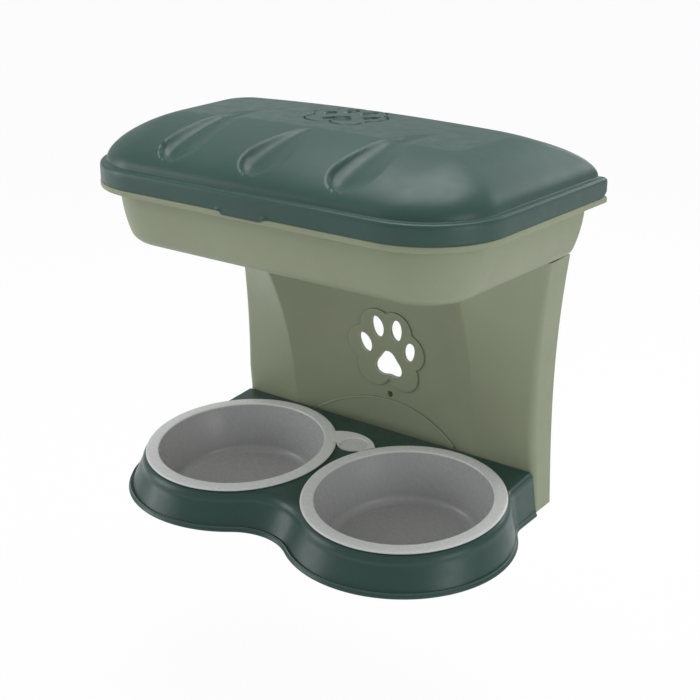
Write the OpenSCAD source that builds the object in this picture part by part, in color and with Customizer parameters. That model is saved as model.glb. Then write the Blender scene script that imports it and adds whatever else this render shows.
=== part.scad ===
// Wall-hung dog feeder with a lidded storage bin over two lift-out bowls.
// Origin: the axis of the wall screw under the paw, on the wall's face.
// +X is to the right, -Y out from the wall and +Z up. Millimetres.

/* [Bowls] */
// Radius over the flat rim of a bowl
bowl_rim_r = 120; // [112:0.5:126]
// Width of the flat rim
bowl_rim_w = 16; // [10:0.5:24]
// Depth inside a bowl, from rim to floor
bowl_depth = 62; // [40:1:70]
// How far the bowl wall leans in from rim to floor
bowl_taper = 14; // [6:1:30]
// Radius between the wall and the floor inside a bowl
bowl_floor_fillet = 11; // [4:0.5:20]
// Wall of a bowl
bowl_wall = 2.5; // [1.8:0.1:4]
// Thickness of the flat rim
bowl_rim_t = 3; // [2:0.1:5]
// Gap between the rims of the two bowls
bowl_gap = 6; // [4:0.5:40]
// Width of the thumb tab between the bowls
tab_w = 46; // [36:1:52]
// Place of the thumb tab round the left bowl, in degrees behind the right
tab_turn = 32; // [28:0.5:36]
// Gap between the thumb tab and the other bowl
tab_gap = 0.8; // [0.4:0.1:3]
// Gap between the bowl and its hole in the tray
bowl_clear = 1.2; // [0.6:0.1:3]
// Height that a bowl is lifted to come clear of the tray
bowl_lift = 80; // [70:1:120]

/* [Bowl tray] */
// Height of the deck over the foot, at the bowl centres
deck_h = 47; // [40:0.5:60]
// Fall of the deck towards the front, in degrees
deck_tilt = 3.9; // [0:0.1:6]
// Width of the deck's rear edge
deck_rear_w = 444; // [420:1:480]
// Deck outside a bowl's rim
deck_margin = 5; // [3:0.5:10]
// Deck behind a bowl's rim
deck_rear_margin = 8.5; // [4:0.5:30]
// Rounding of the deck's edge
deck_edge_r = 11; // [5:0.5:16]
// How far the skirt spreads from deck to foot
skirt_flare = 10.5; // [2:0.5:16]
// How far the skirt leans out in front
skirt_lean = 8; // [0:0.5:14]
// Radius of the waist between the two lobes
waist_r = 76; // [50:1:110]
// Radius where a straight side runs into a lobe
flank_r = 34; // [15:1:60]
// Wall of the tray
tray_wall = 3; // [2:0.1:4]
// Width of the lip round the foot
foot_lip = 2.2; // [1:0.1:4]
// Height of the lip round the foot
foot_lip_h = 4; // [2:0.5:8]

/* [Column] */
// Width of the column at its foot
column_w = 447.5; // [420:0.5:470]
// How much wider the column is at the top
column_spread = 13; // [0:1:24]
// How much the column narrows halfway up
column_waist = 9.5; // [0:0.5:14]
// Depth of the wing noses at the foot
foot_d = 41; // [36:0.5:60]
// How far the wing noses sweep forward to carry the bin
nose_sweep = 92; // [40:1:110]
// Power of the sweep: more keeps the lower column straight
sweep_power = 2.6; // [1.5:0.1:4]
// Width of the recess between the wings at the foot
recess_w = 272; // [220:1:300]
// How much wider the recess is at the top
recess_spread = 22; // [0:1:40]
// Depth of the recess wall at the centre, from the wall
recess_mid_d = 20; // [14:0.5:30]
// How far the middle of the recess sweeps forward at the top
recess_mid_sweep = 34; // [0:1:60]
// How much deeper the side faces get above the tray
side_sweep = 4; // [0:0.5:8]
// Radius of the column's outer corners
corner_r = 9; // [4:0.5:16]
// Radius of the wing noses
nose_r = 6; // [3:0.5:12]
// Wall of the column
column_wall = 3.2; // [2.4:0.1:4.5]
// Thickness of the column's top plate
top_plate_t = 4; // [3:0.5:6]
// Distance of the inner ribs from the centre
rib_x = 92; // [80:1:110]
// Thickness of a rib
rib_t = 2.4; // [1.6:0.1:4]
// Height of the half-moon panel over the foot
moon_h = 86; // [80:0.5:88]
// Height of the half-moon's ends over the foot
moon_end_h = 54; // [46:1:60]
// How far the half-moon panel stands proud
moon_lift = 2; // [1:0.25:3]

/* [Paw cut-out] */
// Height of the paw over the wall screw
paw_h = 62; // [58:1:76]
// Width over the paw's toes
paw_w = 86; // [70:1:100]

/* [Storage bin] */
// Height of the bin's floor over the foot
bin_base_h = 317; // [290:1:350]
// Height of the bin, floor to lid seat
bin_h = 74; // [60:1:120]
// Width over the rim in front
rim_front_w = 518; // [500:1:560]
// Width over the rim at the wall
rim_rear_w = 546; // [530:1:580]
// Depth of the rim, front to rear
rim_d = 299; // [280:1:320]
// Corner radius of the rim in front
rim_front_r = 95; // [60:1:120]
// Corner radius of the rim at the rear
rim_rear_r = 5; // [3:0.5:12]
// Gap between the rim and the wall
wall_gap = 2; // [1.5:0.5:4]
// Thickness of the rim
rim_t = 6.5; // [5:0.5:12]
// How far the rim stands out from the bin's body
bin_overhang = 22; // [18:0.5:26]
// Width of the ledge that the lid sits on
rim_ledge = 15; // [10:0.5:20]
// Width of that ledge at the wall
rear_ledge = 6; // [5:0.5:8]
// Height of the upstand inside the lid
upstand_h = 8; // [4:0.5:12]
// How far the bin's walls lean in from rim to floor
bin_taper = 14; // [8:1:24]
// Radius of the bin's lower edge
bin_edge_r = 12; // [8:1:25]
// Wall of the bin
bin_wall = 3; // [2:0.1:4]

/* [Lid] */
// Height of the lid over its seat
lid_h = 69; // [50:1:90]
// Height of the lid's skirt
skirt_h = 23; // [16:0.5:26]
// Ledge between the skirt and the dome
lid_ledge = 8; // [5:0.5:14]
// How much the dome's top is crowned from side to side
lid_crown = 5; // [0:0.5:9]
// How far the dome leans in, in front
dome_front = 108; // [60:1:130]
// How far the dome leans in at the sides
dome_side = 66; // [30:1:80]
// How far the dome leans in at the rear
dome_rear = 60; // [50:1:70]
// Wall of the lid
lid_wall = 3; // [2:0.1:4]
// Distance between the scooped claw marks
claw_pitch = 116; // [90:1:130]
// Distance of a claw mark's lower end from the rim's front
claw_start = 20; // [14:1:40]
// Width of a claw mark at its lower end
claw_w = 46; // [20:1:60]
// Depth of a claw mark
claw_d = 9; // [2:0.5:11]
// Width of the finger tab in front
finger_w = 64; // [40:1:90]
// Height of the finger tab below the lid's edge
finger_h = 5; // [3:0.5:8]

/* [Hinge] */
// Distance of the hinge axis from the wall
hinge_y = 18; // [17:0.5:22]
// Height of the hinge axis over the lid seat
hinge_h = 14; // [13:0.5:15]
// How far the lid opens, in degrees
lid_open = 40; // [20:1:40]
// Distance of each hinge from the centre
hinge_x = 170; // [120:1:190]
// Radius of a hinge pin
pin_r = 2; // [1.5:0.1:2.5]
// Running clearance round a hinge pin
pin_clear = 0.08; // [0.04:0.01:0.1]
// Radius of the hinge eyes
eye_r = 5; // [4:0.1:5.5]
// Width of the lid's hinge eye
eye_w = 16; // [10:0.5:24]
// Width of each hinge ear on the bin
ear_w = 6; // [4:0.5:10]
// Side gap between an eye and its ears
ear_gap = 0.5; // [0.3:0.1:1]

/* [Fasteners] */
// Height of the wall screw over the foot
wall_screw_h = 94; // [90:1:110]
// Radius of a wall screw hole
wall_hole_r = 2.75; // [2:0.05:3.5]
// Radius of the sunk seat for the wall screw's head
wall_head_r = 4.3; // [4:0.1:6]
// Depth of the sunk seat
wall_head_d = 5; // [2:0.5:8]
// Radius of the boss round a wall screw
wall_boss_r = 8; // [6.5:0.5:12]
// Distance between the two wall screws in the bin
bin_hole_pitch = 300; // [240:1:330]
// Height of those screws over the bin's floor
bin_hole_h = 44; // [35:1:50]
// Radius of a joining screw's shank
screw_r = 1.9; // [1.5:0.1:2.5]
// Length of a joining screw's shank
screw_l = 14; // [10:1:20]
// Radius of a joining screw's head
screw_head_r = 4.5; // [3.5:0.1:6]
// Height of a joining screw's head
screw_head_h = 2.6; // [1.5:0.1:4]
// Clearance round a joining screw
screw_clear = 0.15; // [0.1:0.05:0.3]
// Radius of the bosses that the joining screws bite in
boss_r = 5.5; // [4.5:0.1:7]
// Distance of the tray screws from the centre
tray_screw_x = 168; // [155:1:185]
// Heights of the tray screws over the foot
tray_screw_z = [14, 34]; // [10:1:36]
// Distance of the bin screws from the centre
bin_screw_x = 186; // [175:1:195]
// Distances of the bin screws from the wall, rear and front
bin_screw_y = [26, 62]; // [20:1:90]
// Gap left between parts that only touch
fit_gap = 0.3; // [0.2:0.05:0.5]

/* [Hidden] */
$fn = 64;

SAGE = "#8f9a80";
PINE = "#37524c";
STONE = "#cfcfcf";
STEEL = "#b8bcc0";

foot_z = -wall_screw_h;
deck_z = foot_z + deck_h;
deck_slope = tan(deck_tilt);
// The tray stands clear of the wings, which come furthest forward at the deck
tray_rear_y = -(nose_d(level(deck_z + deck_slope * (bowl_rim_r + deck_rear_margin))) + fit_gap);
bowl_y = tray_rear_y - deck_rear_margin - bowl_rim_r;
bowl_pitch = 2 * bowl_rim_r + bowl_gap;
bowl_x = bowl_pitch / 2;
bowl_mouth_r = bowl_rim_r - bowl_rim_w;
floor_z = foot_z + bin_base_h;
seat_z = floor_z + bin_h;
rim_y = [-wall_gap, -wall_gap - rim_d];
axis_y = -hinge_y;
axis_z = seat_z + hinge_h;

// ---------- outlines and lofts ----------

function unit(v) = v / norm(v);
function mix(a, b, t) = a + (b - a) * t;
function flat(lists) = [for (l = lists) for (p = l) p];
function mirrored(pts) = [for (i = [len(pts) - 1 : -1 : 0]) [-pts[i].x, pts[i].y]];

// n points between a and b, without the ends
function run(a, b, n) = [for (i = [1 : 1 : n]) mix(a, b, i / (n + 1))];

// n + 1 points of an arc round c
function arc(c, r, a0, a1, n) = [for (i = [0 : n]) let (a = mix(a0, a1, i / n)) c + r * [cos(a), sin(a)]];

// The corner p1 between p0 and p2, rounded with radius r
function fillet(p0, p1, p2, r, n) =
    let (u = unit(p0 - p1), v = unit(p2 - p1), half = acos(u * v) / 2,
         c = p1 + unit(u + v) * r / sin(half),
         a = p1 + u * r / tan(half) - c, b = p1 + v * r / tan(half) - c,
         a0 = atan2(a.y, a.x), sweep = (atan2(b.y, b.x) - a0 + 540) % 360 - 180)
    arc(c, r, a0, a0 + sweep, n);

function mean(pts) = [for (k = [0 : len(pts[0]) - 1]) let (v = [for (p = pts) p[k]]) v * [for (x = v) 1] / len(v)];

// A solid through a row of rings with equally many points. Its ends are fans round
// the middle of a ring, raised by rise. A ring that runs out along one line and
// back along another is closed by strips between the two instead.
module loft(rings, strips = false, rise = 0) {
    n = len(rings[0]);
    last = len(rings) - 1;
    hubs = (last + 1) * n;
    function end(a, hub) =
        strips ? flat([for (j = [0 : n / 2 - 2]) [[a + j, a + j + 1, a + n - 2 - j], [a + j, a + n - 2 - j, a + n - 1 - j]]])
               : [for (j = [0 : n - 1]) [a + j, a + (j + 1) % n, hub]];
    polyhedron(
        points = concat(flat(rings), strips ? [] : [for (i = [0, last]) mean(rings[i]) + [0, 0, rise]]),
        faces = concat(
            [for (f = end(0, hubs)) [f[2], f[1], f[0]]],
            [for (i = [0 : last - 1], j = [0 : n - 1], half = [0, 1])
                let (a = i * n + j, b = i * n + (j + 1) % n, c = b + n, d = a + n)
                half == 0 ? [a, b, c] : [a, c, d]],
            end(last * n, hubs + 1)),
        convexity = 8);
}

// ---------- column ----------

column_steps = 9;
plate_z = floor_z - top_plate_t;

function sweep(t) = pow(t, sweep_power);
function level(z) = min(1, max(0, (z - foot_z) / bin_base_h));
function nose_d(t) = foot_d + nose_sweep * sweep(t);
function mid_d(t) = recess_mid_d + recess_mid_sweep * sweep(t);
function recess_half(t) = (recess_w + recess_spread * t * t) / 2;
function column_half(t) = (column_w - column_waist * sin(180 * t) + column_spread * pow(t, 4)) / 2;
function side_d(t) =
    let (start = (deck_h + deck_slope * (bowl_rim_r + deck_rear_margin) + 2) / bin_base_h)
    foot_d - 0.5 + side_sweep * min(1, 10 * max(0, t - start));

// Half-moon panel: half its width and how far it stands proud, at a height over the foot.
// Above it the same two lines run on up the wall.
moon_half = recess_w / 2 - 30;
moon_rise = moon_h - moon_end_h;
moon_r = (moon_half * moon_half + moon_rise * moon_rise) / (2 * moon_rise);
moon_levels = [for (i = [0 : 6]) moon_h - moon_r * (1 - cos(asin(moon_half / moon_r) * (1 - i / 7)))];
function moon_x(h) = h <= moon_end_h ? moon_half
                   : h <= moon_h + 1 ? sqrt(pow(moon_r, 2) - pow(min(h, moon_levels[6]) - moon_h + moon_r, 2)) : moon_half / 2;
function moon_out(h) = h <= moon_levels[6] + 0.01 ? moon_lift : 0;

// Distance of the recess wall's face from the wall, at x and height z
function recess_d(x, z) =
    let (t = level(z), s = min(1, abs(x) / recess_half(t)))
    mid_d(t) + (nose_d(t) - mid_d(t)) * s * s;

// Right half of the column's front, from just behind the wall's face to the centre
function front_half(t) =
    let (w = column_half(t), h = recess_half(t), z = mix(foot_z, floor_z, t),
         side = [w, -side_d(t)], nose = [h, -nose_d(t)], inner = [h - 22, -recess_d(h - 22, z)],
         corner = fillet([w, 0], side, nose, corner_r, 4), tip = fillet(side, nose, inner, nose_r, 3),
         m = moon_x(z - foot_z), out = moon_out(z - foot_z))
    concat([[w, 2]], corner, run(corner[4], tip[0], 3), tip,
           [for (x = concat([h - 22], [for (k = [1, 2]) mix(h - 22, m + 0.5, k / 3)], [m + 0.5])) [x, -recess_d(x, z)]],
           [for (x = [m - 0.5, m * 0.66, m * 0.33]) [x, -recess_d(x, z) - out]]);

function front_line(t) =
    let (half = front_half(t), z = mix(foot_z, floor_z, t))
    concat(half, [[0, -recess_d(0, z) - moon_out(z - foot_z)]], mirrored(half));

// The same line, moved in by the wall
function inner_line(line, d) =
    [for (i = [0 : len(line) - 1])
        let (a = line[max(i - 1, 0)], b = line[min(i + 1, len(line) - 1)], u = unit(b - a))
        i == 0 || i == len(line) - 1 ? line[i] - [sign(line[i].x) * d, 0] : line[i] + d * [u.y, -u.x]];

// Heights of the rings over the foot, from the foot up to the top plate
function column_levels() =
    concat([0, moon_end_h / 2], moon_levels,
           [for (i = [0 : column_steps]) mix(moon_h + 0.5, plate_z - foot_z, i / column_steps)]);

// Open at the back up to the top plate, which closes it
function column_ring(z, closed) =
    let (line = front_line(level(z)), inner = inner_line(line, column_wall), n = len(line) - 1)
    [for (p = concat([for (i = [n : -1 : 0]) line[i]],
                     closed ? [for (i = [0 : n]) let (s = 1 - 2 * i / n) [s * inner[0].x, s * s + 1]] : inner))
        [p.x, p.y, z]];

// A rib from the recess wall back to the wall
module rib(x) {
    zs = [for (i = [0 : 12]) mix(foot_z + 2, floor_z - 1, i / 12)];
    translate([x - rib_t / 2, 0, 0]) rotate([90, 0, 90])
        linear_extrude(rib_t)
            polygon(concat([for (z = zs) [-recess_d(x, z) + column_wall / 2, z]],
                           [[0, floor_z - 1], [0, foot_z + 2]]));
}

// The paw in tenths of its width, round its own middle. Toes as [x, z, half width, half height, lean]
toes = [[-3.85, 0.55, 1.0, 1.62, 20], [-1.62, 3.45, 1.05, 1.72, 8], [1.62, 3.45, 1.05, 1.72, -8], [3.85, 0.55, 1.0, 1.62, -20]];
paw_unit = paw_w / 10;

function toe_pts(toe) =
    [for (i = [0 : 17]) let (a = i * 20, p = [toe[2] * cos(a), toe[3] * sin(a) * (1 + 0.12 * cos(a) * sign(toe.x))])
        [toe.x + p.x * cos(toe[4]) - p.y * sin(toe[4]), toe.y + p.x * sin(toe[4]) + p.y * cos(toe[4])]];

// A three-lobed pad: rounded at the top, with a shallow notch below
function pad_pts() =
    [for (i = [0 : 27]) let (a = i * 360 / 28, r = 2.1 + 0.32 * cos(3 * (a - 90)) + 0.16 * cos(2 * a)) [r * cos(a), r * sin(a) - 2.4]];

module paw_holes()
    translate([0, 0, paw_h]) rotate([90, 0, 0]) linear_extrude(nose_d(1) + 20) {
        for (toe = toes) polygon(paw_unit * toe_pts(toe));
        polygon(paw_unit * pad_pts());
    }

module column() color(SAGE) {
    face = recess_d(0, 0);
    levels = column_levels();
    difference() {
        union() {
            loft(concat([column_ring(floor_z, true), column_ring(plate_z + 0.5, true), column_ring(plate_z, false)],
                        [for (i = [len(levels) - 2 : -1 : 0]) column_ring(foot_z + levels[i], false)]),
                 strips = true);
            for (x = [-rib_x, rib_x]) rib(x);
            translate([0, -face + 1, 0]) rotate([-90, 0, 0]) cylinder(r = wall_boss_r, h = face - 1);
        }
        translate([-column_w, 0, foot_z - 1]) cube([2 * column_w, 10, bin_base_h + 2]);
        paw_holes();
        translate([0, 1, 0]) rotate([90, 0, 0]) cylinder(r = wall_hole_r, h = face + 10);
        translate([0, -face + wall_head_d, 0]) rotate([90, 0, 0]) cylinder(r = wall_head_r, h = 30);
        tray_screw_places() cylinder(r = screw_r + screw_clear, h = 30, center = true);
        bin_screw_places() cylinder(r = screw_r + screw_clear, h = 3 * top_plate_t, center = true);
    }
}

// ---------- storage bin and lid ----------

// Plan of the rim, moved in by [front, side, rear]
function rim_plan(inset, z, n_front = 10) =
    let (f = rim_y[1] + inset[0], b = rim_y[0] - inset[2],
         slant = (rim_rear_w - rim_front_w) / 2 / rim_d,
         wf = rim_front_w / 2 + slant * inset[0] - inset[1], wb = rim_rear_w / 2 - slant * inset[2] - inset[1],
         rf = max(18, rim_front_r - (inset[0] + inset[1]) / 2), rb = max(3, rim_rear_r - inset[1] / 2) + 0.35 * max(0, (inset[1] + inset[2]) / 2 - lid_ledge),
         fl = [-wf, f], fr = [wf, f], br = [wb, b], bl = [-wb, b],
         c1 = fillet(bl, fl, fr, rf, 8), c2 = fillet(fl, fr, br, rf, 8),
         c3 = fillet(fr, br, bl, rb, 4), c4 = fillet(br, bl, fl, rb, 4))
    [for (p = concat(c1, run(c1[8], c2[0], n_front), c2, run(c2[8], c3[0], 4), c3, run(c3[4], c4[0], 4), c4, run(c4[4], c1[0], 4)))
        [p.x, p.y, z]];

// Walls of the bin: how far they stand in from the rim at a height over the floor
function bin_side(h) = bin_overhang + bin_taper * pow(1 - h / (bin_h - rim_t), 2);
bin_edge = [for (i = [0 : 4]) let (a = 90 * i / 4) [bin_edge_r * (1 - sin(a)), bin_edge_r * (1 - cos(a))]];
bin_levels = [for (k = [0.34, 0.54, 0.77]) k * (bin_h - rim_t)];
function bin_inset(s, d) =
    [s + d, s + d, (s <= bin_overhang ? s * rear_ledge / rim_ledge * min(1, rim_ledge / max(s, 1)) : rear_ledge + 0.2 * (s - bin_overhang)) + d];

module bin_shell() {
    neck = bin_h - rim_t;
    rim = [[0.6, neck], [0, neck + 1.5], [0, bin_h - 1], [1, bin_h], [rim_ledge, bin_h]];
    outside = concat([for (e = bin_edge) [bin_side(e.y) + e.x, e.y]], [for (h = bin_levels) [bin_side(h), h]], [[bin_overhang, neck]]);
    inside = concat([for (i = [0 : 3]) let (e = bin_edge[i]) [bin_side(e.y) + e.x, bin_wall + e.y * (1 - bin_wall / bin_edge_r)]],
                    [for (h = bin_levels) [bin_side(h), h]], [[bin_overhang, neck]]);
    loft(concat(
        [for (p = inside) rim_plan(bin_inset(p.x, bin_wall), floor_z + p.y)],
        [rim_plan(bin_inset(rim_ledge, bin_wall), seat_z - 0.5)],
        [for (d = [bin_wall, 0.4]) rim_plan(bin_inset(rim_ledge, d), seat_z + upstand_h)],
        [for (i = [4 : -1 : 0]) rim_plan(bin_inset(rim[i].x, 0), floor_z + rim[i].y)],
        [for (i = [len(outside) - 1 : -1 : 0]) rim_plan(bin_inset(outside[i].x, 0), floor_z + outside[i].y)]));
}

module storage_bin() color(SAGE) {
    rear_d = wall_gap + bin_inset(bin_side(bin_hole_h), 0)[2];
    difference() {
        union() {
            difference() {
                bin_shell();
                translate([-rim_rear_w / 2, 3 - hinge_y, seat_z]) cube([rim_rear_w, hinge_y, 2 * upstand_h]);
            }
            bin_screw_places() cylinder(r = boss_r, h = screw_l);
            wall_hole_places() cylinder(r = wall_boss_r, h = rear_d + bin_wall / 2);
            hinge_places() for (side = [-1, 1]) translate([side * ((eye_w + ear_w) / 2 + ear_gap), 0, 0]) hinge_ear();
        }
        bin_screw_places() translate([0, 0, -1]) cylinder(r = screw_r + screw_clear, h = screw_l - top_plate_t + 2);
        wall_hole_places() translate([0, 0, -1]) cylinder(r = wall_hole_r, h = 60);
        hinge_places() rotate([0, 90, 0]) cylinder(r = pin_r + pin_clear, h = 80, center = true);
        hinge_places() translate([-eye_w / 2 - ear_gap, -eye_r - 2, fit_gap - hinge_h]) cube([eye_w + 2 * ear_gap, 2 * eye_r + 5, hinge_h + eye_r]);
    }
}

// An ear on the inside of the bin's rear wall
module hinge_ear() {
    back = hinge_y - wall_gap - rear_ledge - bin_wall / 2;
    rotate([0, 90, 0]) cylinder(r = eye_r, h = ear_w, center = true);
    translate([-ear_w / 2, -eye_r, -hinge_h - 14]) cube([ear_w, 1.7 * eye_r, hinge_h + 14]);
    translate([-ear_w / 2, 0, -hinge_h - 14]) cube([ear_w, back, 14]);
}

// Dome of the lid: insets in front, at the side and at the rear, with height
dome_steps = 12;
function dome(i, d) =
    let (a = 90 * i / dome_steps, lean = 1 - pow(cos(a), 1.6), up = pow(sin(a), 1.1))
    [[for (reach = [dome_front, dome_side, dome_rear]) lid_ledge + d + (reach - d) * lean],
     skirt_h + (lid_h - skirt_h - (d > 0 ? lid_wall : 0)) * up];

// Depth of the claw marks at a place on the lid: drops with a round lower end and a pointed tail
claws = [[-claw_pitch, 0.56], [0, 0.33], [claw_pitch, 0.56]];
function claw_depth(p) =
    let (front = rim_y[1] + claw_start)
    max([for (claw = claws)
        let (reach = (rim_d - claw_start) * claw[1], t = (p.y - front) / reach, round_end = claw_w / 2 / reach,
             half = claw_w / 2 * (t < round_end ? sqrt(max(0, 1 - pow(1 - t / round_end, 2))) : pow(max(0, 1 - (t - round_end) / (1 - round_end)), 0.75)),
             s = half > 0.5 ? abs(p.x - claw[0]) / half : 1)
        t <= 0 || t >= 1 || s >= 1 ? 0 : claw_d * sqrt(1 - s * s) * sqrt(min(1, t / round_end * 1.5)) * pow(1 - t, 0.5)]);
// A ring of the dome: crowned, and sunk in the claw marks
function dressed(ring, i) =
    [for (p = ring) [p.x, p.y, p.z + lid_crown * pow(sin(90 * i / dome_steps), 2) * max(0, 1 - pow(2 * p.x / (rim_rear_w - 2 * dome_side), 2)) - claw_depth(p)]];

module lid_shell() {
    n = 46;
    function ring(inset, h) = rim_plan([for (k = inset) k + fit_gap * 2], seat_z + h, n);
    function even(k) = [k, k, k];
    outside = concat([for (i = [dome_steps : -1 : 0]) let (r = dome(i, 0)) dressed(ring(r[0], r[1]), i)],
                     [ring(even(lid_ledge - 1.5), skirt_h - 1.5), ring(even(3), skirt_h - 1.5), ring(even(0.8), skirt_h - 2.5),
                      ring(even(0), skirt_h - 5), ring(even(0), fit_gap)]);
    inside = concat([ring(even(lid_wall), fit_gap), ring(even(lid_wall), skirt_h - 1.5 - lid_wall)],
                    [for (i = [0 : dome_steps]) let (r = dome(i, lid_wall)) dressed(ring(r[0], r[1] - (i == 0 ? lid_wall : 0)), i)]);
    loft(concat(outside, inside), rise = seat_z + lid_h + lid_crown - mean(outside[0]).z);
}

// What the lid's rear loses so that it doesn't swing down into the rim
module swing_wedge() {
    r = hinge_h - fit_gap;
    end = lid_open + 1;
    reach = hinge_y + 9;
    translate([-rim_rear_w, axis_y, axis_z]) rotate([90, 0, 90]) linear_extrude(2 * rim_rear_w)
        polygon(concat([[0, -r - 9]], arc([0, 0], r, 270, 270 + end, 8),
                       [[reach, reach * tan(end) - r / cos(end)], [reach, -r - 9]]));
}

module lid() color(PINE) {
    difference() {
        union() {
            difference() {
                lid_shell();
                swing_wedge();
            }
            hinge_places() {
                rotate([0, 90, 0]) cylinder(r = eye_r, h = eye_w, center = true);
                translate([-eye_w / 2, -eye_r, 0]) cube([eye_w, eye_r + hinge_y - wall_gap - 2 - fit_gap, skirt_h - hinge_h - 4]);
            }
            translate([-finger_w / 2, rim_y[1] - 3.2, seat_z - finger_h]) cube([finger_w, 3.2 - fit_gap, finger_h + 6]);
            translate([-finger_w / 2, rim_y[1] - 3.2, seat_z + 2]) cube([finger_w, 3.2 + lid_wall, 4]);
        }
        hinge_places() rotate([0, 90, 0]) cylinder(r = pin_r + pin_clear, h = 80, center = true);
    }
}

module hinge_places() for (x = [-hinge_x, hinge_x]) translate([x, axis_y, axis_z]) children();

module hinge_pins() color(STEEL)
    hinge_places() rotate([0, 90, 0]) cylinder(r = pin_r, h = eye_w + 2 * (ear_w + ear_gap), center = true);

// ---------- bowl tray ----------

deck_lobe_r = bowl_rim_r + deck_margin;

// Plan of the tray, spread outwards by s and leant forward by lean. The deck's own height at y is on_deck(y).
function tray_plan(s, lean, wall = 0) =
    let (r = deck_lobe_r + s, c = [bowl_x, bowl_y - lean], w = deck_rear_w / 2 + s * 0.6, rear = tray_rear_y - wall,
         fc = [w + flank_r, c.y + sqrt(pow(r + flank_r, 2) - pow(w + flank_r - c.x, 2))],
         a_flank = atan2(fc.y - c.y, fc.x - c.x),
         rho = waist_r - s * 0.6, drop = sqrt(pow(r + rho, 2) - c.x * c.x), a_waist = atan2(-drop, -c.x),
         half = concat([for (p = arc([0, c.y - drop], rho, 90, 180 + a_waist, 6)) p],
                       [for (p = arc(c, r, a_waist, a_flank, 22)) p],
                       [for (p = arc(fc, flank_r, a_flank - 180, -180, 5)) p],
                       [[w, rear]]))
    concat([for (i = [1 : len(half) - 1]) half[i]], [for (i = [len(half) - 1 : -1 : 0]) [-half[i].x, half[i].y]]);

function on_deck(y) = deck_z + (y - bowl_y) * deck_slope;
// tilt 1 follows the deck, tilt 0 lies level over the foot
function tray_ring(s, lean, drop, up, wall = 0) =
    [for (p = tray_plan(s, lean, wall)) [p.x, p.y, mix(on_deck(p.y) - drop, foot_z, up)]];

module tray_shell() {
    e = deck_edge_r;
    edge = [for (i = [0 : 4]) let (a = 90 * i / 4) [e * (sin(a) - 1), e * (1 - cos(a))]];
    function skirt(t) = skirt_flare * t;
    outside = concat([for (k = edge) tray_ring(k.x, 0, k.y, 0, -0.15 * k.x)],
                     [for (t = [0.35, 0.7]) tray_ring(skirt(t), skirt_lean * t, e, t)],
                     [for (p = [[0, foot_lip_h + 1.5], [foot_lip, foot_lip_h], [foot_lip, 0]])
                         [for (q = tray_plan(skirt_flare + p[0], skirt_lean)) [q.x, q.y, foot_z + p[1]]]]);
    inside = concat([[for (q = tray_plan(skirt_flare - tray_wall, skirt_lean, tray_wall)) [q.x, q.y, foot_z]]],
                    [tray_ring(-tray_wall, 0, e + 1, 0, tray_wall), tray_ring(-e * 0.3 - tray_wall, 0, tray_wall + e * 0.3, 0, tray_wall + 0.5),
                     tray_ring(-e - tray_wall, 0, tray_wall, 0, tray_wall + 2)]);
    loft(concat(outside, inside));
}

// Frame of a bowl: its centre on the deck, with Z square to the deck
module bowl_place(side) translate([side * bowl_x, bowl_y, deck_z]) rotate([deck_tilt, 0, 0]) translate([0, 0, fit_gap]) children();

module bowl_tray() color(PINE) {
    difference() {
        union() {
            tray_shell();
            tray_screw_places() translate([0, 0, -slant_gap(boss_r) - wing_rise]) mirror([0, 0, 1]) cylinder(r = boss_r, h = screw_l);
        }
        for (side = [-1, 1]) bowl_place(side) cylinder(r = bowl_mouth_r + bowl_wall + bowl_clear, h = 60, center = true, $fn = 96);
        tray_screw_places() translate([0, 0, -screw_l + column_wall]) cylinder(r = screw_r + screw_clear, h = 30);
    }
}

// ---------- bowls ----------

module bowl() {
    r1 = bowl_mouth_r; r0 = bowl_mouth_r - bowl_taper; f = bowl_floor_fillet; t = bowl_wall; top = bowl_rim_t; low = top - bowl_depth;
    inner = concat([[0, low]], arc([r0 - f, low + f], f, -90, 0, 8), arc([r1 + 2, top - 2], 2, 180, 90, 4));
    outer = concat([[bowl_rim_r - 1, top], [bowl_rim_r, top - 1], [bowl_rim_r, 0.4], [bowl_rim_r - 0.4, 0], [r1 + t, 0]],
                   arc([r0 - f, low + f], f + t, 0, -90, 8), [[0, low - t]]);
    rotate_extrude($fn = 128) polygon(concat(inner, outer));
}

// Ear-shaped tab in the gap behind the place where the rims meet
module thumb_tab() {
    r = tab_w / 2;
    difference() {
        rotate(tab_turn) translate([bowl_rim_r, 0, 0]) intersection() {
            union() {
                translate([r, 0, 0]) cylinder(r = r, h = bowl_rim_t, $fn = 96);
                translate([0.3 * r, 0.65 * r, 0]) cylinder(r = 0.73 * r, h = bowl_rim_t, $fn = 96);
                translate([1.5 * r, -0.35 * r, 0]) cylinder(r = 0.73 * r, h = bowl_rim_t, $fn = 96);
            }
            translate([0, -r, -1]) cylinder(r = 2.15 * r, h = bowl_rim_t + 2, $fn = 96);
        }
        translate([0, 0, -1]) cylinder(r = bowl_mouth_r + bowl_rim_w / 2, h = bowl_rim_t + 2, $fn = 128);
        translate([bowl_pitch, 0, -1]) cylinder(r = bowl_rim_r + tab_gap, h = bowl_rim_t + 2, $fn = 128);
    }
}

module bowl_left() color(STONE) bowl_place(-1) {
    bowl();
    thumb_tab();
}
module bowl_right() color(STONE) bowl_place(1) bowl();

// ---------- joining screws ----------

// Head of a screw on z = 0, shank down
module joining_screw() {
    cylinder(r = screw_head_r, h = screw_head_h);
    translate([0, 0, -screw_l]) cylinder(r = screw_r, h = screw_l + 1);
}

// Bin screws come up from under the column's top plate
module bin_screw_places() for (x = [-bin_screw_x, bin_screw_x], y = bin_screw_y) translate([x, -y, floor_z]) children();
module bin_screws() color(STEEL) bin_screw_places() translate([0, 0, -top_plate_t]) mirror([0, 0, 1]) joining_screw();

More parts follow.
